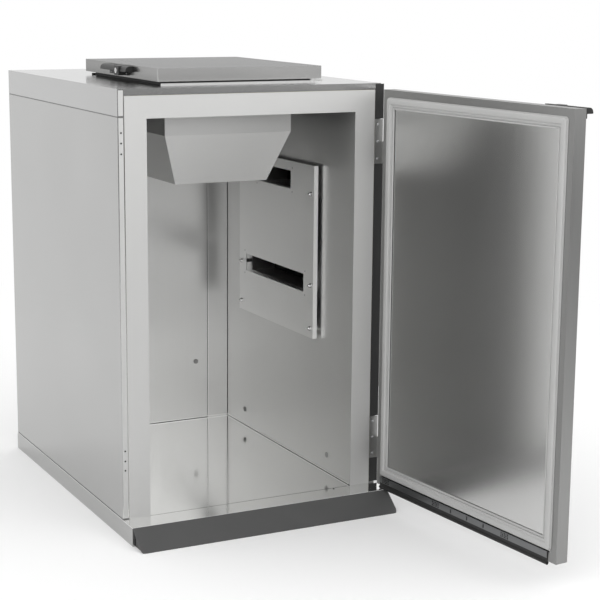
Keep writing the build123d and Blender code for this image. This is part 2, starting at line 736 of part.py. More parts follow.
with BuildPart() as door_hinge_door_leaves:
    for z_low in hinge_lows:
        with BuildSketch(Plane.XY.offset(z_low + knuckle_h + LEAF_GAP)):
            span(x_door, x_door + LEAF_T, y_pin - DOOR_LEAF_D / 2, y_pin + DOOR_LEAF_D / 2)
            span(x_door, x_pin, y_pin - KNUCKLE_R, y_pin - KNUCKLE_R + LEAF_T)
            with Locations((x_pin, y_pin)):
                drum(KNUCKLE_R, SMALL_SIDES)
                Circle(bore_r, mode=Mode.SUBTRACT)
        extrude(amount=knuckle_h)
write_open(door_hinge_door_leaves.part, "door_hinge_door_leaves")

with BuildPart() as door_hinge_pins:
    for z_low in hinge_lows:
        with BuildSketch(Plane.XY.offset(z_low)):
            with Locations((x_pin, y_pin)):
                Circle(PIN_D / 2)
        extrude(amount=DOOR_HINGE_H)
write(door_hinge_pins.part, "door_hinge_pins")

# Lid hinges on the right: foot on the cap, leaf on the lid's side
x_lid_pin = LID_W / 2 + LID_PIN_OUT
z_lid_pin = z_lid + LID_PIN_RISE
lid_hinge_starts = [y_lid + side * LID_HINGE_PITCH / 2 - LID_HINGE_W / 2 for side in (-1, 1)]
lid_knuckle = (LID_HINGE_W - LEAF_GAP) / 2
with BuildPart() as lid_hinge_feet:
    for y_start in lid_hinge_starts:
        with BuildSketch(Plane.XZ.offset(-y_start)):
            span(x_lid_pin, x_lid_pin + LID_FOOT, CAB_H, CAB_H + LEAF_T)
        extrude(amount=-LID_HINGE_W)
        with BuildSketch(Plane.XZ.offset(-y_start)):
            span(x_lid_pin, x_lid_pin + KNUCKLE_R, CAB_H, z_lid_pin)
            with Locations((x_lid_pin, z_lid_pin)):
                drum(KNUCKLE_R, SMALL_SIDES)
                Circle(bore_r, mode=Mode.SUBTRACT)
        extrude(amount=-lid_knuckle)
write(lid_hinge_feet.part, "lid_hinge_feet")

with BuildPart() as lid_hinge_leaves:
    for y_start in lid_hinge_starts:
        with BuildSketch(Plane.XZ.offset(-y_start - lid_knuckle - LEAF_GAP)):
            span(LID_W / 2, LID_W / 2 + LEAF_T, z_lid_pin, z_lid_pin + LID_LEAF_H)
            span(LID_W / 2, x_lid_pin, z_lid_pin + KNUCKLE_R - LEAF_T, z_lid_pin + KNUCKLE_R)
            with Locations((x_lid_pin, z_lid_pin)):
                drum(KNUCKLE_R, SMALL_SIDES)
                Circle(bore_r, mode=Mode.SUBTRACT)
        extrude(amount=-lid_knuckle)
write(lid_hinge_leaves.part, "lid_hinge_leaves")

with BuildPart() as lid_hinge_pins:
    for y_start in lid_hinge_starts:
        with BuildSketch(Plane.XZ.offset(-y_start)):
            with Locations((x_lid_pin, z_lid_pin)):
                Circle(PIN_D / 2)
        extrude(amount=-LID_HINGE_W)
write(lid_hinge_pins.part, "lid_hinge_pins")

# Cooling unit: chassis folded from a wall plate and a shelf, and a vented cover
x_unit = x_out + SHEET
x_unit_out = x_out + UNIT_W
y_unit = y_front + UNIT_SETBACK
y_unit_back = y_unit + UNIT_L
z_unit = UNIT_LOW
z_unit_top = UNIT_LOW + UNIT_H
x_unit_mid = (x_unit + x_unit_out - SHEET) / 2
with BuildPart() as unit_chassis:
    with BuildSketch(Plane.YZ.offset(x_out)):
        span(y_unit, y_unit_back, z_unit, z_unit_top)
    extrude(amount=SHEET)
    extrude(mouth_sketch(), amount=CAB_W, mode=Mode.SUBTRACT)
    with BuildSketch(Plane.XY.offset(z_unit)):
        span(x_out, x_unit_out, y_unit, y_unit_back)
    extrude(amount=SHEET)
write(unit_chassis.part, "unit_chassis")

z_cover = z_unit + SHEET
with BuildPart() as unit_cover:
    with BuildSketch(Plane.XY.offset(z_cover)):
        span(x_unit, x_unit_out, y_unit, y_unit_back)
    extrude(amount=z_unit_top - z_cover)
    cover_corners = unit_cover.edges().filter_by(Axis.Z).group_by(Axis.X)[-1]
    fillet(cover_corners, radius=UNIT_CORNER)
    open_side = unit_cover.faces().sort_by(Axis.X)[0]
    open_below = unit_cover.faces().sort_by(Axis.Z)[0]
    offset(amount=-SHEET, openings=[open_side, open_below])
    with BuildSketch(Plane.XZ.offset(-y_unit)):
        with Locations((x_unit_mid, z_unit + PERF_LOW + (PERF_ROWS - 1) * PERF_PITCH / 2)):
            with GridLocations(PERF_PITCH, PERF_PITCH, PERF_COLUMNS, PERF_ROWS):
                Rectangle(PERF_SIZE, PERF_SIZE)
    extrude(amount=-SHEET, mode=Mode.SUBTRACT)
    with BuildSketch(Plane.XZ.offset(-y_unit_back)):
        with Locations((x_unit_mid, z_unit + LOUVRE_LOW + (LOUVRE_COUNT - 1) * LOUVRE_PITCH / 2)):
            with GridLocations(LOUVRE_W, LOUVRE_PITCH, 1, LOUVRE_COUNT):
                Rectangle(LOUVRE_W, LOUVRE_H)
    extrude(amount=SHEET, mode=Mode.SUBTRACT)
    with BuildSketch(Plane.XZ.offset(-y_unit)):
        with Locations((x_unit_mid, z_unit_top - KNOB_BELOW_TOP)):
            Circle(KNOB_SHAFT_D / 2 + KNOB_HOLE_CLEAR)
    extrude(amount=-SHEET, mode=Mode.SUBTRACT)
write(unit_cover.part, "unit_cover")

# Cold side: insulated box over both air mouths, with the evaporator, its tray and its fan
y_mouth = y_front + MOUTH_SETBACK
cold_l = LOW_MOUTH_L + 2 * COLD_MARGIN
z_cold = LOW_MOUTH_Z - MOUTH_H / 2 - COLD_MARGIN
z_cold_top = HIGH_MOUTH_Z + MOUTH_H / 2 + COLD_MARGIN
with BuildPart() as cold_box:
    with BuildSketch(Plane.YZ.offset(x_unit)):
        reach = cold_l / 2 + COLD_WALL
        span(y_mouth - reach, y_mouth + reach, z_cold - COLD_WALL, z_cold_top + COLD_WALL)
    extrude(amount=COLD_DEPTH)
    with BuildSketch(Plane.YZ.offset(x_unit)):
        span(y_mouth - cold_l / 2, y_mouth + cold_l / 2, z_cold, z_cold_top)
    extrude(amount=COLD_DEPTH - COLD_WALL, mode=Mode.SUBTRACT)
write(cold_box.part, "cold_box")


def finned_coil(section, width, depth, length, rows):
    """Finned block with its tube ends: the section plane is the coil's end, with x across the fins'
    stack, y along the width, and z along the tubes."""
    with BuildPart() as coil:
        with BuildSketch(section):
            Rectangle(depth, width)
        extrude(amount=length)
        fin_pitch = (length - 2 * COIL_END) / COIL_FINS
        for fin in range(COIL_FINS):
            with BuildSketch(section.offset(COIL_END + (fin + 0.5) * fin_pitch - (fin_pitch - FIN_T) / 2)):
                for side in (-1, 1):
                    with Locations((side * depth * (1 - FIN_SHARE) / 2, 0)):
                        Rectangle(depth * FIN_SHARE, width)
            extrude(amount=fin_pitch - FIN_T, mode=Mode.SUBTRACT)
        row_pitch = width / rows
        for end, first_row, outward in ((0, 0, -1), (length, 1, 1)):
            for row in range(first_row, rows - 1, 2):
                height = row_pitch * (row + 1) - width / 2
                bend_mid = section.origin + section.y_dir * height + section.z_dir * end
                place = Plane(bend_mid, x_dir=section.y_dir, z_dir=section.x_dir)
                reach = outward * row_pitch / 2
                with BuildLine(place) as bend:
                    Polyline(
                        (-row_pitch / 2, 0),
                        (-row_pitch / 4, reach),
                        (row_pitch / 4, reach),
                        (row_pitch / 2, 0),
                    )
                with BuildSketch(Plane(bend.line @ 0, z_dir=bend.line % 0)):
                    drum(TUBE_D / 2, TUBE_SIDES)
                sweep(path=bend.line, transition=Transition.RIGHT)
    return coil.part


z_evap = LOW_MOUTH_Z + MOUTH_H / 2 + EVAP_RAISE
x_evap = x_unit + (COLD_DEPTH - COLD_WALL) / 2
evap_end = Plane((x_evap, y_mouth - EVAP_L / 2, z_evap + EVAP_H / 2), x_dir=(1, 0, 0), z_dir=(0, 1, 0))
write(finned_coil(evap_end, EVAP_H, EVAP_W, EVAP_L, EVAP_ROWS), "evaporator_coil")

with BuildPart() as drip_tray:
    with BuildSketch(Plane.XY.offset(z_evap - SHEET)):
        with Locations((x_evap, y_mouth)):
            Rectangle(EVAP_W + 2 * TRAY_MARGIN, cold_l)
    extrude(amount=TRAY_H)
    offset(amount=-SHEET, openings=drip_tray.faces().sort_by(Axis.Z)[-1])
write(drip_tray.part, "drip_tray")

z_deck = z_evap + EVAP_H
fan_base = Plane((x_evap, y_mouth, z_deck + SHEET))
with BuildPart() as fan_deck:
    with BuildSketch(Plane.XY.offset(z_deck)):
        span(x_unit, x_unit + COLD_DEPTH - COLD_WALL, y_mouth - cold_l / 2, y_mouth + cold_l / 2)
        with Locations((x_evap, y_mouth)):
            drum(EVAP_FAN_R + EVAP_FAN_GAP, around=True, mode=Mode.SUBTRACT)
    extrude(amount=SHEET)
write(fan_deck.part, "fan_deck")

with BuildPart() as evaporator_fan_frame:
    with BuildSketch(fan_base) as frame_sketch:
        Rectangle(FAN_SIDE, FAN_SIDE)
        chamfer(frame_sketch.vertices(), length=FAN_CORNER)
        drum(EVAP_FAN_R + EVAP_FAN_GAP, around=True, mode=Mode.SUBTRACT)
    extrude(amount=FAN_FRAME_H)
    with BuildSketch(fan_base):
        spoke_l = 2 * (EVAP_FAN_R + EVAP_FAN_GAP + SPOKE_SINK)
        Rectangle(spoke_l, SPOKE_W)
        Rectangle(SPOKE_W, spoke_l)
    extrude(amount=SPOKE_T)
    with BuildSketch(fan_base):
        drum(EVAP_HUB_R)
    extrude(amount=FAN_MOTOR_H)
    with BuildSketch(fan_base):
        drum(FAN_SHAFT_D / 2, SMALL_SIDES)
    extrude(amount=FAN_FRAME_H - EVAP_FAN_GAP)
write(evaporator_fan_frame.part, "evaporator_fan_frame")


def fan_rotor(place, hub_r, tip_r, hub_l, blades):
    """Hub with pitched blades. The place is the hub's back face, with z along the spin axis."""
    root = hub_l / 2
    tip = tip_r * BLADE_TIP_CHORD
    reach = (tip_r**2 - tip**2) ** 0.5
    with BuildPart() as rotor:
        with BuildSketch(place):
            drum(hub_r)
        extrude(amount=hub_l)
        middle = place.origin + place.z_dir * (hub_l / 2)
        spin = Axis(place.origin, place.z_dir)
        for blade in range(blades):
            radial = place.x_dir.rotate(spin, blade * 360 / blades)
            across = place.z_dir.rotate(Axis(middle, radial), BLADE_PITCH)
            with BuildSketch(Plane(middle, x_dir=radial, z_dir=across)):
                with BuildLine():
                    base = hub_r - BLADE_T
                    Polyline((base, -root), (reach, -tip), (reach, tip), (base, root), close=True)
                make_face()
            extrude(amount=BLADE_T / 2, both=True)
        with BuildSketch(place):
            drum(FAN_SHAFT_D / 2 + RUNNING_CLEAR, SMALL_SIDES, around=True)
        extrude(amount=hub_l, mode=Mode.SUBTRACT)
    return rotor.part


rotor_l = FAN_FRAME_H - FAN_MOTOR_H - 2 * EVAP_FAN_GAP
rotor_base = fan_base.offset(FAN_MOTOR_H + HUB_GAP)
write(fan_rotor(rotor_base, EVAP_HUB_R, EVAP_FAN_R, rotor_l, EVAP_BLADES), "evaporator_fan")

# Warm side: condenser behind the perforated front, shroud, fan, motor and compressor
y_cond = y_unit + SHEET + COND_GAP
z_cond_mid = z_cover + COND_H / 2
x_cond = x_unit + COND_STAND
cond_end = Plane((x_cond, y_cond + COND_L / 2, z_cond_mid), x_dir=(0, 1, 0), z_dir=(1, 0, 0))
write(finned_coil(cond_end, COND_H, COND_L, COND_W, COND_ROWS), "condenser_coil")

y_shroud = y_cond + COND_L
x_fan = x_cond + COND_W / 2
fan_axis = Plane((x_fan, y_shroud, z_cond_mid), x_dir=(1, 0, 0), z_dir=(0, 1, 0))
with BuildPart() as condenser_shroud:
    with BuildSketch(fan_axis):
        Rectangle(COND_W, COND_H)
    extrude(amount=SHEET)
    with BuildSketch(fan_axis):
        drum(COND_FAN_R + SHROUD_CLEAR + SHEET, around=True)
    extrude(amount=SHROUD_RING)
    with BuildSketch(fan_axis):
        drum(COND_FAN_R + SHROUD_CLEAR, around=True)
    extrude(amount=SHROUD_RING, mode=Mode.SUBTRACT)
write(condenser_shroud.part, "condenser_shroud")

cond_hub_l = SHROUD_RING + FAN_GAP
motor_face = fan_axis.offset(cond_hub_l + 2 * HUB_GAP)
cond_fan_place = fan_axis.offset(HUB_GAP)
write(fan_rotor(cond_fan_place, COND_HUB_R, COND_FAN_R, cond_hub_l, COND_BLADES), "condenser_fan")

with BuildPart() as condenser_motor:
    with BuildSketch(motor_face):
        drum(MOTOR_D / 2)
    extrude(amount=MOTOR_L)
    motor_rims = condenser_motor.edges().filter_by(Axis.Y, reverse=True)
    chamfer(motor_rims, length=MOTOR_BEVEL)
    with BuildSketch(motor_face):
        drum(FAN_SHAFT_D / 2, SMALL_SIDES)
    extrude(amount=-cond_hub_l)
write(condenser_motor.part, "condenser_motor")

with BuildPart() as motor_bracket:
    with BuildSketch(motor_face.offset(MOTOR_L)):
        span(-BRACKET_W / 2, BRACKET_W / 2, -MOTOR_D / 2, COND_H / 2)
    extrude(amount=BRACKET_T)
    with BuildSketch(Plane.XY.offset(z_cover)):
        y_bracket = y_shroud + cond_hub_l + 2 * HUB_GAP + MOTOR_L
        span(x_fan - BRACKET_W / 2, x_fan + BRACKET_W / 2, y_bracket, y_bracket + BRACKET_FOOT)
    extrude(amount=BRACKET_T)
write(motor_bracket.part, "motor_bracket")

x_comp = x_unit_mid
y_comp = y_unit + COMPRESSOR_SETBACK
z_comp = z_cover + COMPRESSOR_FEET
stub_places = [(x_comp + side * STUB_PITCH / 2, y_comp) for side in (-1, 1)]
z_stub = z_comp + COMPRESSOR_H + STUB_L
with BuildPart() as compressor:
    with BuildSketch(Plane.XY.offset(z_comp)):
        with Locations((x_comp, y_comp)):
            drum(COMPRESSOR_D / 2)
    extrude(amount=COMPRESSOR_H)
    chamfer(compressor.faces().sort_by(Axis.Z)[0].edges(), length=SHELL_FOOT)
    chamfer(compressor.faces().sort_by(Axis.Z)[-1].edges(), length=SHELL_SHOULDER)
    chamfer(compressor.faces().sort_by(Axis.Z)[-1].edges(), length=SHELL_CROWN)
    with BuildSketch(Plane.XY.offset(z_comp)):
        with Locations((x_comp, y_comp)):
            Rectangle(FOOT_X + 2 * FOOT_D, FOOT_Y + 2 * FOOT_D)
    extrude(amount=COMPRESSOR_PLATE)
    with BuildSketch(Plane.XY.offset(z_comp + COMPRESSOR_H)):
        with Locations(*stub_places):
            drum(PIPE_D / 2, PIPE_SIDES)
    extrude(amount=STUB_L)
write(compressor.part, "compressor")

with BuildPart() as compressor_feet:
    with BuildSketch(Plane.XY.offset(z_cover)):
        with Locations((x_comp, y_comp)):
            with GridLocations(FOOT_X, FOOT_Y, 2, 2):
                drum(FOOT_D / 2, SMALL_SIDES)
    extrude(amount=COMPRESSOR_FEET)
write(compressor_feet.part, "compressor_feet")


def pipe(*corners):
    """Copper pipe along straight runs, with every corner cut to an easy bend."""
    points = [Vector(*corner) for corner in corners]
    route = points[:1]
    for before, corner, after in zip(points, points[1:], points[2:]):
        route.append(corner + (before - corner).normalized() * PIPE_BEND)
        route.append(corner + (after - corner).normalized() * PIPE_BEND)
    with BuildPart() as tube:
        with BuildLine() as run:
            Polyline(*route, points[-1])
        with BuildSketch(Plane(points[0], z_dir=run.line % 0)):
            drum(PIPE_D / 2, PIPE_SIDES)
        sweep(path=run.line, transition=Transition.RIGHT)
    return tube.part


z_cond_top = z_cover + COND_H
z_cold_under = z_cold - COLD_WALL
z_run = z_cold_under - DRIER_D / 2 - PIPE_CLEAR
y_cond_mid = y_cond + COND_L / 2
x_liquid = x_comp - LIQUID_OFFSET
y_drier = y_comp - DRIER_L
with BuildPart() as refrigerant_pipes:
    x_hot, x_suction = stub_places[1][0], stub_places[0][0]
    add(
        pipe(
            (x_hot, y_comp, z_stub),
            (x_hot, y_comp, z_run),
            (x_hot, y_cond_mid, z_run),
            (x_hot, y_cond_mid, z_cond_top),
        )
    )
    add(pipe((x_liquid, y_cond_mid, z_cond_top), (x_liquid, y_cond_mid, z_run), (x_liquid, y_drier, z_run)))
    with BuildSketch(Plane.XY.offset(z_stub)):
        with Locations((x_suction, y_comp)):
            drum(PIPE_D / 2, PIPE_SIDES)
    extrude(amount=z_cold_under - z_stub)
    with BuildSketch(Plane.XZ.offset(-y_drier)):
        with Locations((x_liquid, z_run)):
            drum(DRIER_D / 2)
    extrude(amount=-DRIER_L)
write(refrigerant_pipes.part, "refrigerant_pipes")

# Thermostat behind the cover's front, its knob, and the gland for the mains lead
z_knob = z_unit_top - KNOB_BELOW_TOP
dial = Plane((x_unit_mid, y_unit, z_knob), x_dir=(1, 0, 0), z_dir=(0, -1, 0))
with BuildPart() as thermostat:
    with BuildSketch(dial.offset(-SHEET)) as case:
        Rectangle(THERMOSTAT_W, THERMOSTAT_W)
        chamfer(case.vertices(), length=THERMOSTAT_BEVEL)
    extrude(amount=-THERMOSTAT_D)
    with BuildSketch(dial.offset(-SHEET)):
        drum(KNOB_SHAFT_D / 2, SMALL_SIDES)
    extrude(amount=SHEET + KNOB_BORE_L)
write(thermostat.part, "thermostat")

with BuildPart() as thermostat_knob:
    with BuildSketch(dial.offset(KNOB_GAP)):
        drum(KNOB_D / 2, SMALL_SIDES)
    extrude(amount=KNOB_L)
    with BuildSketch(dial.offset(KNOB_GAP)):
        drum(KNOB_SHAFT_D / 2 + RUNNING_CLEAR, SMALL_SIDES, around=True)
    extrude(amount=KNOB_BORE_L, mode=Mode.SUBTRACT)
write(thermostat_knob.part, "thermostat_knob")

gland_mid = (x_unit_out - GLAND_INSET, y_unit_back, z_unit + GLAND_INSET)
gland = Plane(gland_mid, x_dir=(1, 0, 0), z_dir=(0, 1, 0))
with BuildPart() as cable_gland:
    with BuildSketch(gland):
        drum(GLAND_D / 2, 6)
    extrude(amount=GLAND_NUT_L)
    with BuildSketch(gland):
        drum(GLAND_TUBE_D / 2)
    extrude(amount=GLAND_L)
    with BuildSketch(gland):
        drum(GLAND_BORE / 2, SMALL_SIDES)
    extrude(amount=GLAND_L, mode=Mode.SUBTRACT)
write(cable_gland.part, "cable_gland")
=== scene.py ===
"""Looks of the refrigerated waste-bin cabinet: finishes for the CAD nodes, and the small pieces that the
solids leave out. Metres, in the part's own frame: +Z up, the front faces -Y."""
import json
from math import cos, radians, sin

import bmesh
import bpy
from mathutils import Matrix, Vector


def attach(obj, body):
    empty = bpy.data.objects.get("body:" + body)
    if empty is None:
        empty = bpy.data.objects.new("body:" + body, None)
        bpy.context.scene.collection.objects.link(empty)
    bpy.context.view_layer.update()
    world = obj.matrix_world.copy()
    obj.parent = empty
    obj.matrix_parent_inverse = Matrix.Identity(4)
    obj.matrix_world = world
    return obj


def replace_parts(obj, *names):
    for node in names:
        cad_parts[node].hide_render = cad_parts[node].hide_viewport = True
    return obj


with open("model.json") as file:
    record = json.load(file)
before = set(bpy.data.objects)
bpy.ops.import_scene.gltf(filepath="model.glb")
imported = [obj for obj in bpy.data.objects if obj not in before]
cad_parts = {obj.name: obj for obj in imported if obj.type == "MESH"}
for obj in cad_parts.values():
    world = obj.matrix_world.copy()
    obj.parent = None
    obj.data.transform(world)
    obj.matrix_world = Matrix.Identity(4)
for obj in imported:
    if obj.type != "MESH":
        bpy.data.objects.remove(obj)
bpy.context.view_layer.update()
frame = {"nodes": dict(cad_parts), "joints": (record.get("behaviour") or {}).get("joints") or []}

MM = 0.001
scene = bpy.context.scene

# The door hangs open at rest. Pieces on it are placed as if it were shut, and this turn swings them open.
hinge = next(joint for joint in frame["joints"] if joint["name"] == "door_hinge")
hinge_at = Matrix.Translation(Vector(hinge["pos_m"]))
DOOR_SWING = hinge_at @ Matrix.Rotation(radians(-hinge["range_deg"][0]), 4, "Z") @ hinge_at.inverted()
DOOR_TURN = DOOR_SWING.to_3x3()

# Faces and middles of the solids that small pieces sit on, in millimetres
FRONT_Y, BACK_Y = -437.5, 512.5
FLOOR_Z, CAP_Z = 52, 1210
LINER_X, LINER_BACK_Y, LINER_TOP_Z = 310, 422.5, 1131.5
DOOR_X, DOOR_LOW_Z, DOOR_TOP_Z, DOOR_IN_Y = 387.5, 62, 1195, -445.5
LID_Y, LID_HINGE_REACH = -72.5, 170
BAFFLE_X, BAFFLE_Y, BAFFLE_LOW_Z = 288.5, 28.5, 448
UNIT_FRONT_Y, UNIT_BACK_Y, UNIT_TOP_Z = -271.5, 328.5, 985
DIAL_X, DIAL_Z = 535, 915


def linear(code):
    """Linear RGBA of an sRGB hex colour."""
    parts = [int(code[i:i + 2], 16) / 255 for i in (1, 3, 5)]
    return [p / 12.92 if p <= 0.04045 else ((p + 0.055) / 1.055) ** 2.4 for p in parts] + [1.0]


def add(tree, kind, values=None, links=None, **settings):
    """Add a node with its settings, its input values and its links."""
    made = tree.nodes.new(kind)
    for name, value in settings.items():
        setattr(made, name, value)
    for name, value in (values or {}).items():
        made.inputs[name].default_value = value
    for name, socket in (links or {}).items():
        tree.links.new(socket, made.inputs[name])
    return made


def surface(name, **values):
    """New material; gives its tree and its shader, with the constant values set on the shader."""
    material = bpy.data.materials.new(name)
    material.use_nodes = True
    shader = material.node_tree.nodes["Principled BSDF"]
    for key, value in values.items():
        shader.inputs[key.replace("_", " ")].default_value = value
    return material, material.node_tree, shader


SHEET_CLOUD, SHEET_RELIEF = 350 * MM, 0.3 * MM  # breadth of the sheet's uneven patches, depth of its lines
LINES_SHARE, CLOUD_SHARE = 0.35, 0.65  # how much of the sheet's change of tone each of them gives
MOULD_CLOUD, MOULD_RELIEF = 120 * MM, 0.2 * MM  # the same for moulded and coated surfaces


def sheet_steel(name, dark, light, grain, rough, line=2.5 * MM, run=260 * MM, relief=0.02, rim="#ffffff"):
    """Stainless sheet whose grinding lines run along one axis. The real lines are 0.1 to 0.3 mm apart, too
    fine for the picture, so they are drawn line apart; a broad cloud shows how the sheet is never quite even."""
    material, tree, shader = surface(name, Metallic=1.0, Specular_Tint=linear(rim))
    place = add(tree, "ShaderNodeTexCoord").outputs["Object"]
    scale = [1 / run if axis == grain else 1 / line for axis in "XYZ"]
    lines_at = add(tree, "ShaderNodeMapping", {"Scale": scale}, {"Vector": place})
    lines = add(tree, "ShaderNodeTexNoise", {"Scale": 1.0, "Detail": 2.0}, {"Vector": lines_at.outputs[0]})
    cloud = add(tree, "ShaderNodeTexNoise", {"Scale": 1 / SHEET_CLOUD, "Detail": 1.0}, {"Vector": place})
    tone = add(tree, "ShaderNodeMix", {"A": linear(dark), "B": linear(light)}, data_type="RGBA")
    mixed = add(tree, "ShaderNodeMath", {1: LINES_SHARE}, {0: lines.outputs["Fac"]}, operation="MULTIPLY")
    both = add(tree, "ShaderNodeMath", {1: CLOUD_SHARE}, {0: cloud.outputs["Fac"], 2: mixed.outputs[0]},
               operation="MULTIPLY_ADD")
    tree.links.new(both.outputs[0], tone.inputs["Factor"])
    tree.links.new(tone.outputs["Result"], shader.inputs["Base Color"])
    gloss = add(tree, "ShaderNodeMapRange", {"To Min": rough[0], "To Max": rough[1]},
                {"Value": lines.outputs["Fac"]})
    tree.links.new(gloss.outputs["Result"], shader.inputs["Roughness"])
    bump = add(tree, "ShaderNodeBump", {"Strength": relief, "Distance": SHEET_RELIEF},
               {"Height": lines.outputs["Fac"]})
    tree.links.new(bump.outputs["Normal"], shader.inputs["Normal"])
    return material


def grained(name, dark, light, grit, rough, relief, metallic=0.0, ior=1.5):
    """Moulded, cast, coated or drawn surface: an even fine grain of the given grit and a slight change of tone."""
    material, tree, shader = surface(name, Metallic=metallic, IOR=ior)
    place = add(tree, "ShaderNodeTexCoord").outputs["Object"]
    grain = add(tree, "ShaderNodeTexNoise", {"Scale": 1 / grit, "Detail": 3.0}, {"Vector": place})
    cloud = add(tree, "ShaderNodeTexNoise", {"Scale": 1 / MOULD_CLOUD, "Detail": 2.0}, {"Vector": place})
    tone = add(tree, "ShaderNodeMix", {"A": linear(dark), "B": linear(light)},
               {"Factor": cloud.outputs["Fac"]}, data_type="RGBA")
    tree.links.new(tone.outputs["Result"], shader.inputs["Base Color"])
    gloss = add(tree, "ShaderNodeMapRange", {"To Min": rough[0], "To Max": rough[1]},
                {"Value": grain.outputs["Fac"]})
    tree.links.new(gloss.outputs["Result"], shader.inputs["Roughness"])
    bump = add(tree, "ShaderNodeBump", {"Strength": relief, "Distance": MOULD_RELIEF},
               {"Height": grain.outputs["Fac"]})
    tree.links.new(bump.outputs["Normal"], shader.inputs["Normal"])
    return material


# Stainless sheet, ground satin: soft reflections drawn out along the grain
SKIN = sheet_steel("Stainless_steel_satin_ground_upright", "#a9a9a8", "#b5b5b4", "Z", (0.15, 0.23))
# The same sheet on the cap, ground lengthwise: its reflections run back from the front edge
CAP = sheet_steel("Stainless_steel_satin_ground_lengthwise", "#aeaead", "#bababa", "Y", (0.15, 0.23))
# The lid's sheet, ground coarser: nearly edge-on its top stays grey, where a smoother sheet goes white
LID = sheet_steel("Stainless_steel_satin_ground_matt_rim", "#b4b4b3", "#c0c0bf", "Y", (0.18, 0.26), rim="#a4a4a4")
# Stainless sheet, glass-bead blasted: an even pale bloom that hides what it mirrors
FRAME = sheet_steel("Stainless_steel_bead_blasted", "#cacac9", "#d4d4d3", "X", (0.58, 0.66),
                    line=6 * MM, run=9 * MM)
# Stainless sheet as rolled by the mill: smooth and grey, with blurred reflections
LINER = sheet_steel("Stainless_steel_mill_rolled", "#d4d4d3", "#dbdbda", "Z", (0.29, 0.34),
                    line=4 * MM, relief=0.003)
# Stainless sheet, brushed across: the hopper's folds show by their tone, not by what they mirror
HOOD = sheet_steel("Stainless_steel_brushed_across", "#c4c4c3", "#cacac9", "X", (0.36, 0.40),
                   line=4 * MM, relief=0.003)
# Stainless sheet, brushed bright: a little lighter than the wall behind it. On the liner's folds it also gives a
# painted highlight
BAFFLE = sheet_steel("Stainless_steel_brushed_bright", "#ececeb", "#f4f4f3", "Z", (0.30, 0.40), line=4 * MM)
# Stainless sheet as rolled, bright: a dim mirror of the doorway, soft at the edges
PANEL = sheet_steel("Stainless_steel_mill_rolled_bright", "#d2d2d1", "#dadad9", "Z", (0.20, 0.25),
                    line=5 * MM, relief=0.003)
# Stainless sheet, brushed along the door: duller and darker than the skins, with long soft gradients
PAN = sheet_steel("Stainless_steel_brushed_door", "#90908f", "#9c9c9b", "Z", (0.34, 0.44), line=4 * MM)
# Stainless sheet, polished: a mirror with faint streaks where wheels run over it
FLOOR = sheet_steel("Stainless_steel_polished", "#e8e8e7", "#f0f0ef", "Y", (0.06, 0.12), line=7 * MM)
# Stainless plate, laser cut and tumbled: dull grey with an even sparkle
PLATE = grained("Stainless_steel_tumbled", "#a6a6a5", "#b6b6b5", 1.5 * MM, (0.30, 0.40), 0.03, metallic=1.0)
# Steel, powder coated: flat dark grey with a fine orange peel
RAMP = grained("Steel_powder_coated_dark_grey", "#474747", "#515151", 1.2 * MM, (0.50, 0.62), 0.12)
# Glass-filled nylon, moulded: black, its soft sheen broken by the mould's spark grain
NYLON = grained("Nylon_glass_filled_moulded_black", "#161616", "#1f1f1f", 0.9 * MM, (0.38, 0.50), 0.10)
# Rubber, extruded: dead black with hardly a highlight. The same black also serves as painted shade on the hinge
# side's front strip
RUBBER_AND_SHADE = grained("Rubber_extruded_black_and_painted_shade", "#1b1b1b", "#262626", 1.4 * MM, (0.55, 0.70), 0.06)
# Soft PVC, extruded: pale grey and a little waxy, so that each ridge carries a faint bright line
GASKET = grained("PVC_soft_extruded_light_grey", "#aeaead", "#b8b8b7", 1.8 * MM, (0.32, 0.40), 0.02)
# Brass, chrome plated: small hard highlights
CHROME = grained("Brass_chrome_plated", "#cfcfcf", "#dadada", 2.0 * MM, (0.08, 0.14), 0.01, metallic=1.0)
# Aluminium, rolled thin: cool silver with a soft shine
ALUMINIUM = grained("Aluminium_rolled", "#b9babb", "#c6c7c8", 1.6 * MM, (0.30, 0.42), 0.03, metallic=1.0)
# Aluminium, anodised grey: flat mid grey with a silky sheen
ANODISED = grained("Aluminium_anodised_grey", "#7a7b7c", "#868788", 1.2 * MM, (0.35, 0.45), 0.03, metallic=1.0)
# Copper tube, drawn: warm red-brown with bright streaks
COPPER = grained("Copper_drawn_tube", "#b06a48", "#c47f5b", 1.6 * MM, (0.24, 0.38), 0.03, metallic=1.0)
# Steel, enamelled: deep black gloss
ENAMEL = grained("Steel_enamelled_black", "#17181a", "#202224", 2.4 * MM, (0.22, 0.32), 0.03)
# Polypropylene, moulded: even light grey, half matt
PLASTIC = grained("Polypropylene_moulded_grey", "#9a9a99", "#a6a6a5", 1.2 * MM, (0.40, 0.52), 0.05)
# Polypropylene, expanded and moulded: dark grey with a beaded skin
POLYFOAM = grained("Polypropylene_expanded_moulded_grey", "#3c3c3c", "#474747", 3.0 * MM, (0.70, 0.85), 0.25)
# Polyurethane, foamed in place: pale straw yellow and chalky
FOAM = grained("Polyurethane_rigid_foam", "#d9cfa9", "#e6ddbb", 2.2 * MM, (0.80, 0.95), 0.25)
# Steel, zinc plated: bright cool grey
ZINC = grained("Steel_zinc_plated_screw", "#a9aaab", "#bbbcbd", 1.0 * MM, (0.24, 0.34), 0.02, metallic=1.0)
# Painted shade for the inside of a drilled hole or an open joint, and also the ink of printed dots: near black, no
# shine
PAINTED_SHADE_AND_PRINT = grained("Painted_shade_and_printed_dots_near_black", "#0a0a0a", "#121212", 1.0 * MM, (0.80, 0.90), 0.02)
# Painted shade for the open joints over the plinth and under the cap: mid grey with a slightly wet look
JOINT_SHADE = grained("Joint_painted_shade_grey", "#6a6a69", "#767675", 2.0 * MM, (0.45, 0.55), 0.05)
# Pad print: a flat white film
PRINT = grained("Pad_print_white", "#e2e2e0", "#ececea", 1.0 * MM, (0.50, 0.60), 0.02)

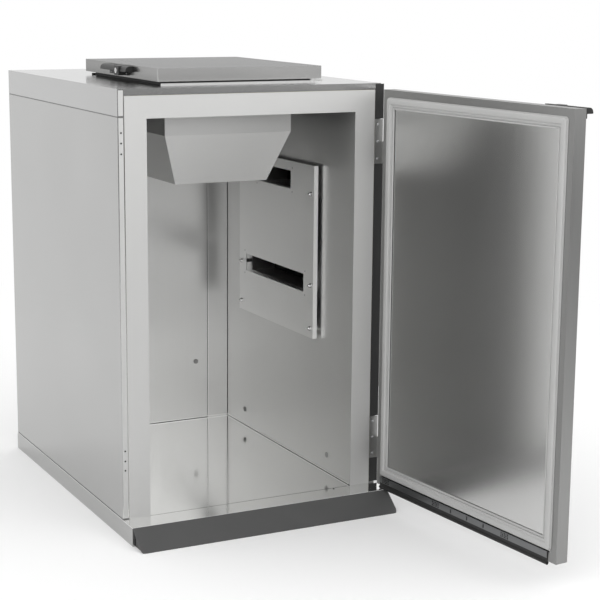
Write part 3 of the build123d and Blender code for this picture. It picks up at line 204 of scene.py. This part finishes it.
DRESS = {
    SKIN: "left_outer_panel right_outer_panel back_outer_panel base_tray unit_chassis unit_cover",
    CAP: "top_cap lid_inner_panel",
    LID: "lid_outer_pan",
    HOOD: "hopper",
    BAFFLE: "air_baffle",
    FRAME: "front_frame",
    LINER: "left_liner right_liner back_liner ceiling_liner duct_sleeves drip_tray fan_deck",
    PANEL: "door_inner_panel",
    PAN: "door_outer_pan",
    FLOOR: "floor_sheet",
    PLATE: "door_hinge_frame_leaves door_hinge_door_leaves lid_hinge_feet lid_hinge_leaves"
           " motor_bracket condenser_shroud",
    RAMP: "ramp",
    NYLON: "lid_handle door_handle evaporator_fan evaporator_fan_frame condenser_fan thermostat_knob cable_gland",
    RUBBER_AND_SHADE: "lid_gasket door_sweep_seal compressor_feet",
    GASKET: "door_gasket",
    CHROME: "lid_lock_barrel door_lock_barrel acorn_nuts baffle_spacers door_hinge_pins lid_hinge_pins",
    ALUMINIUM: "evaporator_coil condenser_coil",
    ANODISED: "door_sweep_clamp",
    COPPER: "refrigerant_pipes",
    ENAMEL: "compressor condenser_motor",
    PLASTIC: "liner_plugs thermostat",
    POLYFOAM: "cold_box",
    FOAM: "floor_foam wall_foam top_foam door_foam lid_foam",
}
for finish, names in DRESS.items():
    for name in names.split():
        for slot in frame["nodes"][name].material_slots:
            slot.material = finish


def mesh_of(name, work):
    """Turn a finished bmesh into a mesh."""
    mesh = bpy.data.meshes.new(name)
    work.to_mesh(mesh)
    work.free()
    return mesh


def piece_of(name, mesh, finish, body):
    """Link a finished mesh as a piece that rides on a body."""
    piece = bpy.data.objects.new(name, mesh)
    scene.collection.objects.link(piece)
    if finish:
        mesh.materials.append(finish)
    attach(piece, body)
    return piece


def ring_loop(x0, x1, z0, z1, inset, corner, steps=8, least=0.4):
    """Rounded rectangle, inset from its outer edge, as points in its own plane, in millimetres."""
    r = max(corner - inset, least)
    lo_x, hi_x, lo_z, hi_z = x0 + inset + r, x1 - inset - r, z0 + inset + r, z1 - inset - r
    loop = []
    for x, z, start in ((hi_x, hi_z, 0), (lo_x, hi_z, 90), (lo_x, lo_z, 180), (hi_x, lo_z, 270)):
        for step in range(steps + 1):
            turn = radians(start + 90 * step / steps)
            loop.append((x + r * cos(turn), z + r * sin(turn)))
    return loop


# Door gasket: an extruded profile with a flat outer flange, the magnet's bulge and a folded inner bellows.
# Each point is how far in from the gasket's outer edge it lies, and how high above the door's inner sheet.
GASKET_SECTION = [
    (0, 0), (0, 1.8), (0.6, 2.4), (2.4, 2.4), (2.8, 5.8), (4.0, 7.0), (5.4, 7.4), (16.2, 7.4), (17.4, 7.0),
    (19.0, 4.6), (20.0, 3.8), (24.6, 3.6), (25.2, 3.0), (25.6, 0.9), (27.0, 0.9), (27.4, 2.8), (28.2, 3.4),
    (30.4, 3.4), (31.6, 2.6), (32, 1.2), (32, 0)]
GASKET_INSET, GASKET_RISE, GASKET_CORNER = 20, 30, 10  # from the door's edges, from its foot, outer corner
FOLD_ANGLE = radians(30)  # ridges sharper than this stay crisp
work = bmesh.new()
rows = []
for across, height in GASKET_SECTION:
    loop = ring_loop(GASKET_INSET - DOOR_X, DOOR_X - GASKET_INSET, DOOR_LOW_Z + GASKET_RISE,
                     DOOR_TOP_Z - GASKET_INSET, across, GASKET_CORNER)
    rows.append([work.verts.new(DOOR_SWING @ (Vector((x, DOOR_IN_Y + height, z)) * MM)) for x, z in loop])
for inner, outer in zip(rows, rows[1:] + rows[:1]):
    for i in range(len(inner)):
        work.faces.new((inner[i - 1], inner[i], outer[i], outer[i - 1]))
bmesh.ops.remove_doubles(work, verts=work.verts, dist=0.01 * MM)
bmesh.ops.recalc_face_normals(work, faces=work.faces)
seal = mesh_of("door_gasket_profile", work)
seal.shade_smooth()
seal.set_sharp_from_angle(angle=FOLD_ANGLE)
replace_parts(piece_of("door_gasket_profile", seal, GASKET, "door"), "door_gasket")


def fixing_tree(name, sizes, make_head):
    """Tree that sets one head on every point, turned to the point's facing and scaled by its size."""
    tree = bpy.data.node_groups.new(name, "GeometryNodeTree")
    tree.interface.new_socket("Geometry", in_out="INPUT", socket_type="NodeSocketGeometry")
    for size in sizes:
        tree.interface.new_socket(size, in_out="INPUT", socket_type="NodeSocketFloat")
    tree.interface.new_socket("Finish", in_out="INPUT", socket_type="NodeSocketMaterial")
    tree.interface.new_socket("Geometry", in_out="OUTPUT", socket_type="NodeSocketGeometry")
    given = add(tree, "NodeGroupInput").outputs
    head = make_head(tree, given)
    facing = add(tree, "GeometryNodeInputNamedAttribute", {"Name": "facing"}, data_type="FLOAT_VECTOR")
    size = add(tree, "GeometryNodeInputNamedAttribute", {"Name": "size"}, data_type="FLOAT")
    turn = add(tree, "FunctionNodeAlignRotationToVector", links={"Vector": facing.outputs["Attribute"]}, axis="Z")
    heads = add(tree, "GeometryNodeInstanceOnPoints", links={
        "Points": given["Geometry"], "Instance": head,
        "Rotation": turn.outputs["Rotation"], "Scale": size.outputs["Attribute"]})
    real = add(tree, "GeometryNodeRealizeInstances", links={"Geometry": heads.outputs["Instances"]})
    done = add(tree, "GeometryNodeSetMaterial", links={
        "Geometry": real.outputs["Geometry"], "Material": given["Finish"]})
    add(tree, "NodeGroupOutput", links={"Geometry": done.outputs["Geometry"]})
    return tree


def dome(tree, wide, high, segments=16, rings=8):
    """Half-sunk dome of the given diameter and height."""
    ball = add(tree, "GeometryNodeMeshUVSphere", {"Segments": segments, "Rings": rings, "Radius": 0.5})
    tall = add(tree, "ShaderNodeMath", {1: 2.0}, {0: high}, operation="MULTIPLY")
    size = add(tree, "ShaderNodeCombineXYZ", links={"X": wide, "Y": wide, "Z": tall.outputs[0]})
    shaped = add(tree, "GeometryNodeTransform", links={
        "Geometry": ball.outputs["Mesh"], "Scale": size.outputs["Vector"]})
    smooth = add(tree, "GeometryNodeSetShadeSmooth", links={"Geometry": shaped.outputs["Geometry"]})
    return smooth.outputs["Geometry"]


def prism(tree, wide, high, vertices):
    """Upright prism or disc standing on the surface."""
    radius = add(tree, "ShaderNodeMath", {1: 0.5}, {0: wide}, operation="MULTIPLY")
    middle = add(tree, "ShaderNodeMath", {1: 0.5}, {0: high}, operation="MULTIPLY")
    lift = add(tree, "ShaderNodeCombineXYZ", links={"Z": middle.outputs[0]})
    block = add(tree, "GeometryNodeMeshCylinder", {"Vertices": vertices},
                {"Radius": radius.outputs[0], "Depth": high})
    stood = add(tree, "GeometryNodeTransform", links={
        "Geometry": block.outputs["Mesh"], "Translation": lift.outputs["Vector"]})
    return stood.outputs["Geometry"]


RECESS_LONG, RECESS_WIDE, RECESS_DEEP = 0.55, 0.14, 1.2  # cross recess, as shares of the head's sizes
PIN_WIDE, PIN_HIGH = 0.35, 1.12  # stub of a drawn rivet's pin, as shares of the head's sizes


def screw_head(tree, given):
    """Domed head with a cross recess."""
    head = dome(tree, given["Diameter"], given["Height"])
    long = add(tree, "ShaderNodeMath", {1: RECESS_LONG}, {0: given["Diameter"]}, operation="MULTIPLY").outputs[0]
    thin = add(tree, "ShaderNodeMath", {1: RECESS_WIDE}, {0: given["Diameter"]}, operation="MULTIPLY").outputs[0]
    deep = add(tree, "ShaderNodeMath", {1: RECESS_DEEP}, {0: given["Height"]}, operation="MULTIPLY").outputs[0]
    lift = add(tree, "ShaderNodeCombineXYZ", links={"Z": given["Height"]})
    cut = add(tree, "GeometryNodeMeshBoolean", links={"Mesh 1": head}, operation="DIFFERENCE", solver="EXACT")
    for x, y in ((long, thin), (thin, long)):
        size = add(tree, "ShaderNodeCombineXYZ", links={"X": x, "Y": y, "Z": deep})
        arm = add(tree, "GeometryNodeMeshCube", links={"Size": size.outputs["Vector"]})
        raised = add(tree, "GeometryNodeTransform", links={
            "Geometry": arm.outputs["Mesh"], "Translation": lift.outputs["Vector"]})
        tree.links.new(raised.outputs["Geometry"], cut.inputs["Mesh 2"])
    return cut.outputs["Mesh"]


def rivet_head(tree, given):
    """Low dome with the stub of its drawn pin."""
    wide = add(tree, "ShaderNodeMath", {1: PIN_WIDE}, {0: given["Diameter"]}, operation="MULTIPLY").outputs[0]
    high = add(tree, "ShaderNodeMath", {1: PIN_HIGH}, {0: given["Height"]}, operation="MULTIPLY").outputs[0]
    pin = prism(tree, wide, high, 10)
    head = dome(tree, given["Diameter"], given["Height"])
    joined = add(tree, "GeometryNodeJoinGeometry", links={"Geometry": head})
    tree.links.new(pin, joined.inputs["Geometry"])
    return joined.outputs["Geometry"]


def acorn_nut(tree, given):
    """Washer, hexagon and closed dome."""
    parts = [prism(tree, given["Washer"], given["Washer Thickness"], 24),
             prism(tree, given["Across Corners"], given["Nut Height"], 6)]
    lift = add(tree, "ShaderNodeCombineXYZ", links={"Z": given["Nut Height"]})
    cap = add(tree, "GeometryNodeTransform", links={
        "Geometry": dome(tree, given["Dome"], given["Dome Height"]), "Translation": lift.outputs["Vector"]})
    joined = add(tree, "GeometryNodeJoinGeometry", links={"Geometry": cap.outputs["Geometry"]})
    for part in parts:
        tree.links.new(part, joined.inputs["Geometry"])
    return joined.outputs["Geometry"]


def flat_disc(tree, given):
    """Disc a hair proud of its sheet: painted shade standing for a drilled hole, or a printed dot."""
    return prism(tree, given["Diameter"], given["Height"], 20)


SCREWS = fixing_tree("domed_screws", ("Diameter", "Height"), screw_head)
RIVETS = fixing_tree("drawn_rivets", ("Diameter", "Height"), rivet_head)
NUT_SIZES = {"Washer": 14, "Washer Thickness": 1.0, "Across Corners": 11.5, "Nut Height": 5,
             "Dome": 9.4, "Dome Height": 4.6}
ACORNS = fixing_tree("acorn_nuts", NUT_SIZES, acorn_nut)
DISCS = fixing_tree("flat_discs", ("Diameter", "Height"), flat_disc)


def fixings(name, tree, finish, sizes, places, body):
    """Set a tree's heads at places, each a point, a facing and a size, and keep them as one plain mesh."""
    seed = bpy.data.meshes.new(name + "_places")
    seed.from_pydata([point for point, _, _ in places], [], [])
    facings = [c for _, way, _ in places for c in way]
    seed.attributes.new("facing", "FLOAT_VECTOR", "POINT").data.foreach_set("vector", facings)
    seed.attributes.new("size", "FLOAT", "POINT").data.foreach_set("value", [size for _, _, size in places])
    holder = bpy.data.objects.new(name + "_places", seed)
    scene.collection.objects.link(holder)
    modifier = holder.modifiers.new("fixings", "NODES")
    modifier.node_group = tree
    for socket in tree.interface.items_tree:
        if socket.in_out == "INPUT" and socket.name in sizes:
            modifier[socket.identifier] = sizes[socket.name] * MM
        elif socket.in_out == "INPUT" and socket.name == "Finish":
            modifier[socket.identifier] = finish
    graph = bpy.context.evaluated_depsgraph_get()
    mesh = bpy.data.meshes.new_from_object(holder.evaluated_get(graph), depsgraph=graph)
    mesh.name = name
    bpy.data.objects.remove(holder)
    return piece_of(name, mesh, None, body)


LEFT, RIGHT, FRONT, BACK, UP = (-1, 0, 0), (1, 0, 0), (0, -1, 0), (0, 1, 0), (0, 0, 1)
SIDES = (-1, 1)


def at(x, y, z, way, size=1.0):
    """Place on the cabinet or lid, in millimetres."""
    return Vector((x, y, z)) * MM, way, size


def on_door(x, y, z, way, size=1.0):
    """Place on the door, in millimetres as if it were shut."""
    return DOOR_SWING @ (Vector((x, y, z)) * MM), DOOR_TURN @ Vector(way), size


# Screws of the door's and lid's hinges, the handles and the cooling unit's cover
PLATE_SCREW = {"Diameter": 7.5, "Height": 2.2}
SMALL_SCREW = {"Diameter": 7.0, "Height": 2.0}
LEAF_X, LEAF_Y, LEAF_Z, LEAF_STEPS = 381, -440, (190, 1048), (-48, 0, 48)
COVER_LIP_X, COVER_LIP_Z, COVER_LIP_Y = 404, (320, 640, 955), (-230, 28.5, 287)
FOOT_X, FOOT_Z, FOOT_STEPS = 276, 1212.5, (-18, 18)
screws = [at(LEAF_X, LEAF_Y, z + step, FRONT) for z in LEAF_Z for step in LEAF_STEPS]
screws += [at(COVER_LIP_X, y, z, way) for y, way in ((UNIT_FRONT_Y, FRONT), (UNIT_BACK_Y, BACK))
           for z in COVER_LIP_Z]
screws += [at(COVER_LIP_X, y, UNIT_TOP_Z, UP) for y in COVER_LIP_Y]
screws += [at(FOOT_X, LID_Y + side * LID_HINGE_REACH + step, FOOT_Z, UP) for side in SIDES for step in FOOT_STEPS]
fixings("cabinet_screws", SCREWS, ZINC, PLATE_SCREW, screws, "cabinet")
DOOR_LEAF_X, DOOR_LEAF_Y, DOOR_LEAF_Z = 390, -460, (207, 235, 1065, 1093)
DOOR_GRIP_X, DOOR_GRIP_Y, DOOR_GRIP_Z = (-374, -248), -486.5, 1175.5
screws = [on_door(DOOR_LEAF_X, DOOR_LEAF_Y, z, RIGHT, 0.8) for z in DOOR_LEAF_Z]
screws += [on_door(x, DOOR_GRIP_Y, DOOR_GRIP_Z, FRONT, 0.8) for x in DOOR_GRIP_X]
fixings("door_screws", SCREWS, ZINC, SMALL_SCREW, screws, "door")
LID_GRIP_X, LID_GRIP_Y, LID_GRIP_Z = -248, (-133, -12), 1231
LID_LEAF_X, LID_LEAF_Z, LID_LEAF_SHIFT, LID_LEAF_STEPS = 247.5, 1239, 15, (-8, 8)
screws = [at(LID_GRIP_X, y, LID_GRIP_Z, LEFT, 0.8) for y in LID_GRIP_Y]
screws += [at(LID_LEAF_X, LID_Y + side * LID_HINGE_REACH + LID_LEAF_SHIFT + step, LID_LEAF_Z, RIGHT, 0.7)
           for side in SIDES for step in LID_LEAF_STEPS]
fixings("lid_screws", SCREWS, ZINC, SMALL_SCREW, screws, "lid")

# Rivets at the corners of the baffle's slots and round the back panel
SLOTS = ((210, 607), (121.5, 905))  # half length and height of the baffle's two slots, out to the rivets
SLOT_RISE = 36  # from a slot's middle to its rivets
BACK_EDGE_X, BACK_EDGE_Z = 372, range(110, 1120, 165)
BACK_ROW_X, BACK_ROW_Z = (-186, 0, 186), (80, 1115)
rivets = [at(BAFFLE_X, BAFFLE_Y + side * reach, z + rise, LEFT, 0.75)
          for reach, z in SLOTS for side in SIDES for rise in (-SLOT_RISE, SLOT_RISE)]
rivets += [at(side * BACK_EDGE_X, BACK_Y, z, BACK) for side in SIDES for z in BACK_EDGE_Z]
rivets += [at(x, BACK_Y, z, BACK) for x in BACK_ROW_X for z in BACK_ROW_Z]
fixings("sheet_rivets", RIVETS, ALUMINIUM, {"Diameter": 7.0, "Height": 1.3}, rivets, "cabinet")

# Acorn nuts that hold the air baffle, three up each of its upright edges
NUT_Y, NUT_RISE = (-216.5, 260.5), (29, 158, 429)
nuts = [at(BAFFLE_X, y, BAFFLE_LOW_Z + rise, LEFT) for y in NUT_Y for rise in NUT_RISE]
acorns = fixings("baffle_acorn_nuts", ACORNS, CHROME, NUT_SIZES, nuts, "cabinet")
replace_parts(acorns, "acorn_nuts")

# Painted shade: flat near-black discs for the spare hinge holes in the left front strip, and the drain hole in the
# threshold
STRIP_Y = -437.6  # face of the cover strip there
SPARE_X, SPARE_Z = -381, (1097, 1070, 1042, 243, 215, 189)
DRAIN_X, DRAIN_Y = 252, -446
holes = [at(SPARE_X, STRIP_Y, z, FRONT) for z in SPARE_Z] + [at(DRAIN_X, DRAIN_Y, FLOOR_Z, UP, 1.3)]
fixings("spare_holes_painted_shade", DISCS, PAINTED_SHADE_AND_PRINT, {"Diameter": 5.0, "Height": 0.15}, holes, "cabinet")

# Painted shade: flat near-black discs for the perforated patches of the sweep seal's clamp strip, five holes by
# three, larger and smaller in turn
PATCH_X, PATCH_Y, PATCH_Z = (-190, 105, 340), DOOR_IN_Y + 3.5, 79.5
PATCH_PITCH_X, PATCH_PITCH_Z = 6.5, 4.8
patches = [on_door(x + PATCH_PITCH_X * column, PATCH_Y, PATCH_Z + PATCH_PITCH_Z * row, BACK,
                   0.8 + 0.3 * ((row + column) % 2))
           for x in PATCH_X for column in range(-2, 3) for row in (-1, 0, 1)]
fixings("clamp_perforations_painted_shade", DISCS, PAINTED_SHADE_AND_PRINT, {"Diameter": 4.4, "Height": 0.12}, patches, "door")


def bars(name, spans, finish, body):
    """Straight thin bars, each between two corners in millimetres, as one mesh."""
    work = bmesh.new()
    for low, high in spans:
        low, high = Vector(low) * MM, Vector(high) * MM
        grow = Matrix.Diagonal((*(high - low), 1))
        bmesh.ops.create_cube(work, size=1.0, matrix=Matrix.Translation((low + high) / 2) @ grow)
    return piece_of(name, mesh_of(name, work), finish, body)


# Painted shade: mid-grey bars in the open joints over the plinth and under the cap, a little under the skins'
# faces, stand for the joints' shade
SEAM_Z = ((52.1, 54.9), (1136.6, 1139.4))
SEAM_SHADE_IN, SEAM_SHADE_OUT = 388.6, 389.7  # along the sides, from the cabinet's middle
SEAM_SHADE_FRONT, SEAM_SHADE_FRONT_IN, SEAM_SHADE_FRONT_END = -437.1, -436, 311
SEAM_SHADE_BACK_IN, SEAM_SHADE_BACK, SEAM_SHADE_SIDE_END = 510.8, 512.1, 511
seam_shades = []
for low, high in SEAM_Z:
    for side in SIDES:
        near, far = sorted((side * SEAM_SHADE_IN, side * SEAM_SHADE_OUT))
        seam_shades.append(((near, SEAM_SHADE_FRONT_IN, low), (far, SEAM_SHADE_SIDE_END, high)))
        near, far = sorted((side * SEAM_SHADE_FRONT_END, side * SEAM_SHADE_IN))
        seam_shades.append(((near, SEAM_SHADE_FRONT, low), (far, SEAM_SHADE_FRONT_IN, high)))
    seam_shades.append(((-SEAM_SHADE_IN, SEAM_SHADE_BACK_IN, low), (SEAM_SHADE_IN, SEAM_SHADE_BACK, high)))
bars("joint_painted_shade", seam_shades, JOINT_SHADE, "cabinet")

# Painted shade: a black rubber bar on the hinge side's front strip stands for the shade in the narrow slot beside
# the open door, left out behind the hinge plates
HINGE_SHADE_X, HINGE_SHADE_T, HINGE_SHADE_Z = (373, 399), 0.8, ((56, 127), (253, 985), (1111, 1208))
hinge_shade_bars = [((HINGE_SHADE_X[0], FRONT_Y - HINGE_SHADE_T, low), (HINGE_SHADE_X[1], FRONT_Y, high))
             for low, high in HINGE_SHADE_Z]
bars("hinge_side_painted_shade_strip", hinge_shade_bars, RUBBER_AND_SHADE, "cabinet")

# Pale cover strip on the other front edge, with an open joint on either side of it
STRIP_X, STRIP_Z = (-387.8, -374.4), ((56.5, 1135.5), (1140.5, 1206.5))
cover_strip = [((STRIP_X[0], STRIP_Y, low), (STRIP_X[1], FRONT_Y, high)) for low, high in STRIP_Z]
bars("left_front_strip", cover_strip, FRAME, "cabinet")

# Low drip rims on the cap, in front of and behind the lid's gasket
RIM_X, RIM_Y, RIM_T, RIM_H = 231, (-343.5, 197), 1.5, 5.5
drip_rims = [((-RIM_X, y, CAP_Z), (RIM_X, y + RIM_T, CAP_Z + RIM_H)) for y in RIM_Y]
bars("throw_in_drip_rims", drip_rims, CAP, "cabinet")

# Painted shade: near-black bars where the liner's sheets meet stand for the shade in their gaps, round the floor,
# up the back corners, at the laps on the back and along the threshold
GAP = 1.2
GAP_X, GAP_LOW_Z, GAP_TOP_Z = LINER_X - GAP, 53, 53.3
SIDE_GAP_Y, CORNER_Y = (-436, 422), (420, 421)
LAP_X, LAP_Y = (237.2, 238), (421.2, 422.4)
THRESHOLD_Y, THRESHOLD_Z = (-438, -437), 52.2
gaps = [((-LINER_X, LINER_BACK_Y - GAP, FLOOR_Z), (LINER_X, LINER_BACK_Y, GAP_TOP_Z)),
        ((-LINER_X, THRESHOLD_Y[0], FLOOR_Z), (LINER_X, THRESHOLD_Y[1], THRESHOLD_Z))]
for near, far in ((-LINER_X, -GAP_X), (GAP_X, LINER_X)):
    gaps.append(((near, SIDE_GAP_Y[0], FLOOR_Z), (far, SIDE_GAP_Y[1], GAP_TOP_Z)))
    gaps.append(((near, CORNER_Y[0], GAP_LOW_Z), (far, CORNER_Y[1], LINER_TOP_Z)))
for near, far in ((-LAP_X[1], -LAP_X[0]), LAP_X):
    gaps.append(((near, LAP_Y[0], GAP_LOW_Z), (far, LAP_Y[1], LINER_TOP_Z)))
bars("liner_gaps_painted_shade", gaps, PAINTED_SHADE_AND_PRINT, "cabinet")

# Folded edges beside those gaps, the laps on the back and the floor's upstand: they catch the light, and the
# brighter baffle sheet given to them adds a painted highlight
FOLD_W, FOLD_Y, FOLD_Z = 2.4, (420.9, 422.4), (53.4, 57)
UPSTAND_X, UPSTAND_FRONT_Y = (308.4, 309.9), -428
folds = [((near, FOLD_Y[0], FOLD_Z[1]), (near + FOLD_W, FOLD_Y[1], LINER_TOP_Z)) for near in (-LAP_X[0], LAP_X[1])]
folds.append(((-GAP_X, FOLD_Y[0], FOLD_Z[0]), (GAP_X, FOLD_Y[1], FOLD_Z[1])))
for near, far in (UPSTAND_X, (-UPSTAND_X[1], -UPSTAND_X[0])):
    folds.append(((near, UPSTAND_FRONT_Y, FOLD_Z[0]), (far, FOLD_Y[0], FOLD_Z[1])))
bars("liner_folds_painted_highlight", folds, BAFFLE, "cabinet")

# Dial on the cooling unit: dots that grow with the setting, and the knob's pointer at the lowest of them
DOTS, DOT_FIRST, DOT_STEP, DOT_R = 10, 225, 30, 29
POINTER_R, POINTER_Y, POINTER_SIZE, POINTER_EDGE = 13, -290.6, (12 * MM, 0.5 * MM, 2 * MM, 1), 0.2 * MM
dots = []
for step in range(DOTS):
    turn = radians(DOT_FIRST - DOT_STEP * step)
    dots.append(at(DIAL_X + DOT_R * cos(turn), UNIT_FRONT_Y, DIAL_Z + DOT_R * sin(turn), FRONT, 0.5 + 0.1 * step))
fixings("dial_dots", DISCS, PAINTED_SHADE_AND_PRINT, {"Diameter": 3.2, "Height": 0.12}, dots, "cabinet")
turn = radians(DOT_FIRST)
tip = Vector((DIAL_X + POINTER_R * cos(turn), POINTER_Y, DIAL_Z + POINTER_R * sin(turn))) * MM
work = bmesh.new()
bmesh.ops.create_cube(work, size=1.0)
bmesh.ops.transform(work, verts=work.verts, matrix=Matrix.Translation(tip) @ Matrix.Rotation(-turn, 4, "Y")
                    @ Matrix.Diagonal(POINTER_SIZE))
bmesh.ops.bevel(work, geom=work.edges[:], offset=POINTER_EDGE, segments=2, affect="EDGES")
piece_of("knob_pointer", mesh_of("knob_pointer", work), PRINT, "thermostat_dial")


def staged(name, mesh, finish):
    """Link a piece of the studio, which isn't part of the object."""
    mesh.materials.append(finish)
    prop = bpy.data.objects.new(name, mesh)
    scene.collection.objects.link(prop)
    return prop


# Pale studio floor: paper that keeps the object's shadow and runs out to pure white
PAPER_R, FADE_NEAR, FADE_FAR = 9.0, 1.9, 3.3
work = bmesh.new()
bmesh.ops.create_circle(work, cap_ends=True, segments=96, radius=PAPER_R)
paper, tree, shader = surface("Studio_paper", Base_Color=linear("#fcfcfc"), Roughness=0.9, Specular_IOR_Level=0.0)
place = add(tree, "ShaderNodeTexCoord").outputs["Object"]
away = add(tree, "ShaderNodeVectorMath", links={0: place}, operation="LENGTH")
fade = add(tree, "ShaderNodeMapRange", {"From Min": FADE_NEAR, "From Max": FADE_FAR},
           {"Value": away.outputs["Value"]}, interpolation_type="SMOOTHSTEP")
glow = add(tree, "ShaderNodeEmission", {"Color": linear("#ffffff"), "Strength": 1.0})
blend = add(tree, "ShaderNodeMixShader", links={
    "Fac": fade.outputs["Result"], 1: shader.outputs["BSDF"], 2: glow.outputs["Emission"]})
tree.links.new(blend.outputs["Shader"], tree.nodes["Material Output"].inputs["Surface"])
staged("studio_floor", mesh_of("studio_floor", work), paper)

# White room, the same for the light, the background and what the metal mirrors
world = bpy.data.worlds.new("studio")
scene.world = world
world.use_nodes = True
world.node_tree.nodes["Background"].inputs["Color"].default_value = linear("#ffffff")
world.node_tree.nodes["Background"].inputs["Strength"].default_value = 1.0

# Studio wall behind the camera: dark at its foot and lit above, so that the metal in front has something to
# mirror. It bows round the front half of the room and fades into the white at its ends.
WALL_R, WALL_H, WALL_SPAN, WALL_STEPS = 5.0, 5.0, 84, 48
WALL_FOOT, WALL_TOP, WALL_LOW, WALL_RISE = 0.15, 2.0, 0.80, 1.70  # dark and bright level, and from where to where
END_NEAR, END_FAR = -0.1 * WALL_R, -0.7 * WALL_R
work = bmesh.new()
feet = []
for step in range(WALL_STEPS + 1):
    turn = radians(-90 + WALL_SPAN * (2 * step / WALL_STEPS - 1))
    feet.append(work.verts.new((WALL_R * cos(turn), WALL_R * sin(turn), 0)))
heads = [work.verts.new((*foot.co.xy, WALL_H)) for foot in feet]
for i in range(WALL_STEPS):
    work.faces.new((feet[i + 1], feet[i], heads[i], heads[i + 1]))
cloth, tree, _ = surface("Studio_wall_cloth")
place = add(tree, "ShaderNodeTexCoord").outputs["Object"]
spot = add(tree, "ShaderNodeSeparateXYZ", links={"Vector": place})
ends = add(tree, "ShaderNodeMapRange", {"From Min": END_NEAR, "From Max": END_FAR},
           {"Value": spot.outputs["Y"]}, interpolation_type="SMOOTHSTEP")
rise = add(tree, "ShaderNodeMapRange",
           {"From Min": WALL_LOW, "From Max": WALL_RISE, "To Min": WALL_FOOT, "To Max": WALL_TOP},
           {"Value": spot.outputs["Z"]}, interpolation_type="SMOOTHSTEP")
level = add(tree, "ShaderNodeMix", {"A": 1.0}, {"Factor": ends.outputs["Result"], "B": rise.outputs["Result"]},
            data_type="FLOAT")
lit = add(tree, "ShaderNodeEmission", {"Color": linear("#ffffff")}, {"Strength": level.outputs["Result"]})
tree.links.new(lit.outputs["Emission"], tree.nodes["Material Output"].inputs["Surface"])
staged("studio_wall", mesh_of("studio_wall", work), cloth).visible_camera = False

# Camera at the photograph's viewpoint
EYE_AT = (-1.8354, -4.3082, 1.4780)
YAW, PITCH, ROLL = radians(27.062), radians(11.236), radians(0.489)
LENS, SENSOR = 95.41, 36
ahead = Vector((sin(YAW) * cos(PITCH), cos(YAW) * cos(PITCH), -sin(PITCH)))
level_right = Vector((cos(YAW), -sin(YAW), 0))
level_up = level_right.cross(ahead)
right, above = level_right * cos(ROLL) + level_up * sin(ROLL), level_up * cos(ROLL) - level_right * sin(ROLL)
eye = bpy.data.cameras.new("photo_view")
eye.lens, eye.sensor_width = LENS, SENSOR
camera = bpy.data.objects.new("photo_view", eye)
camera.matrix_world = Matrix.Translation(EYE_AT) @ Matrix((right, above, -ahead)).transposed().to_4x4()
scene.collection.objects.link(camera)
scene.camera = camera
scene.view_settings.view_transform = "Standard"
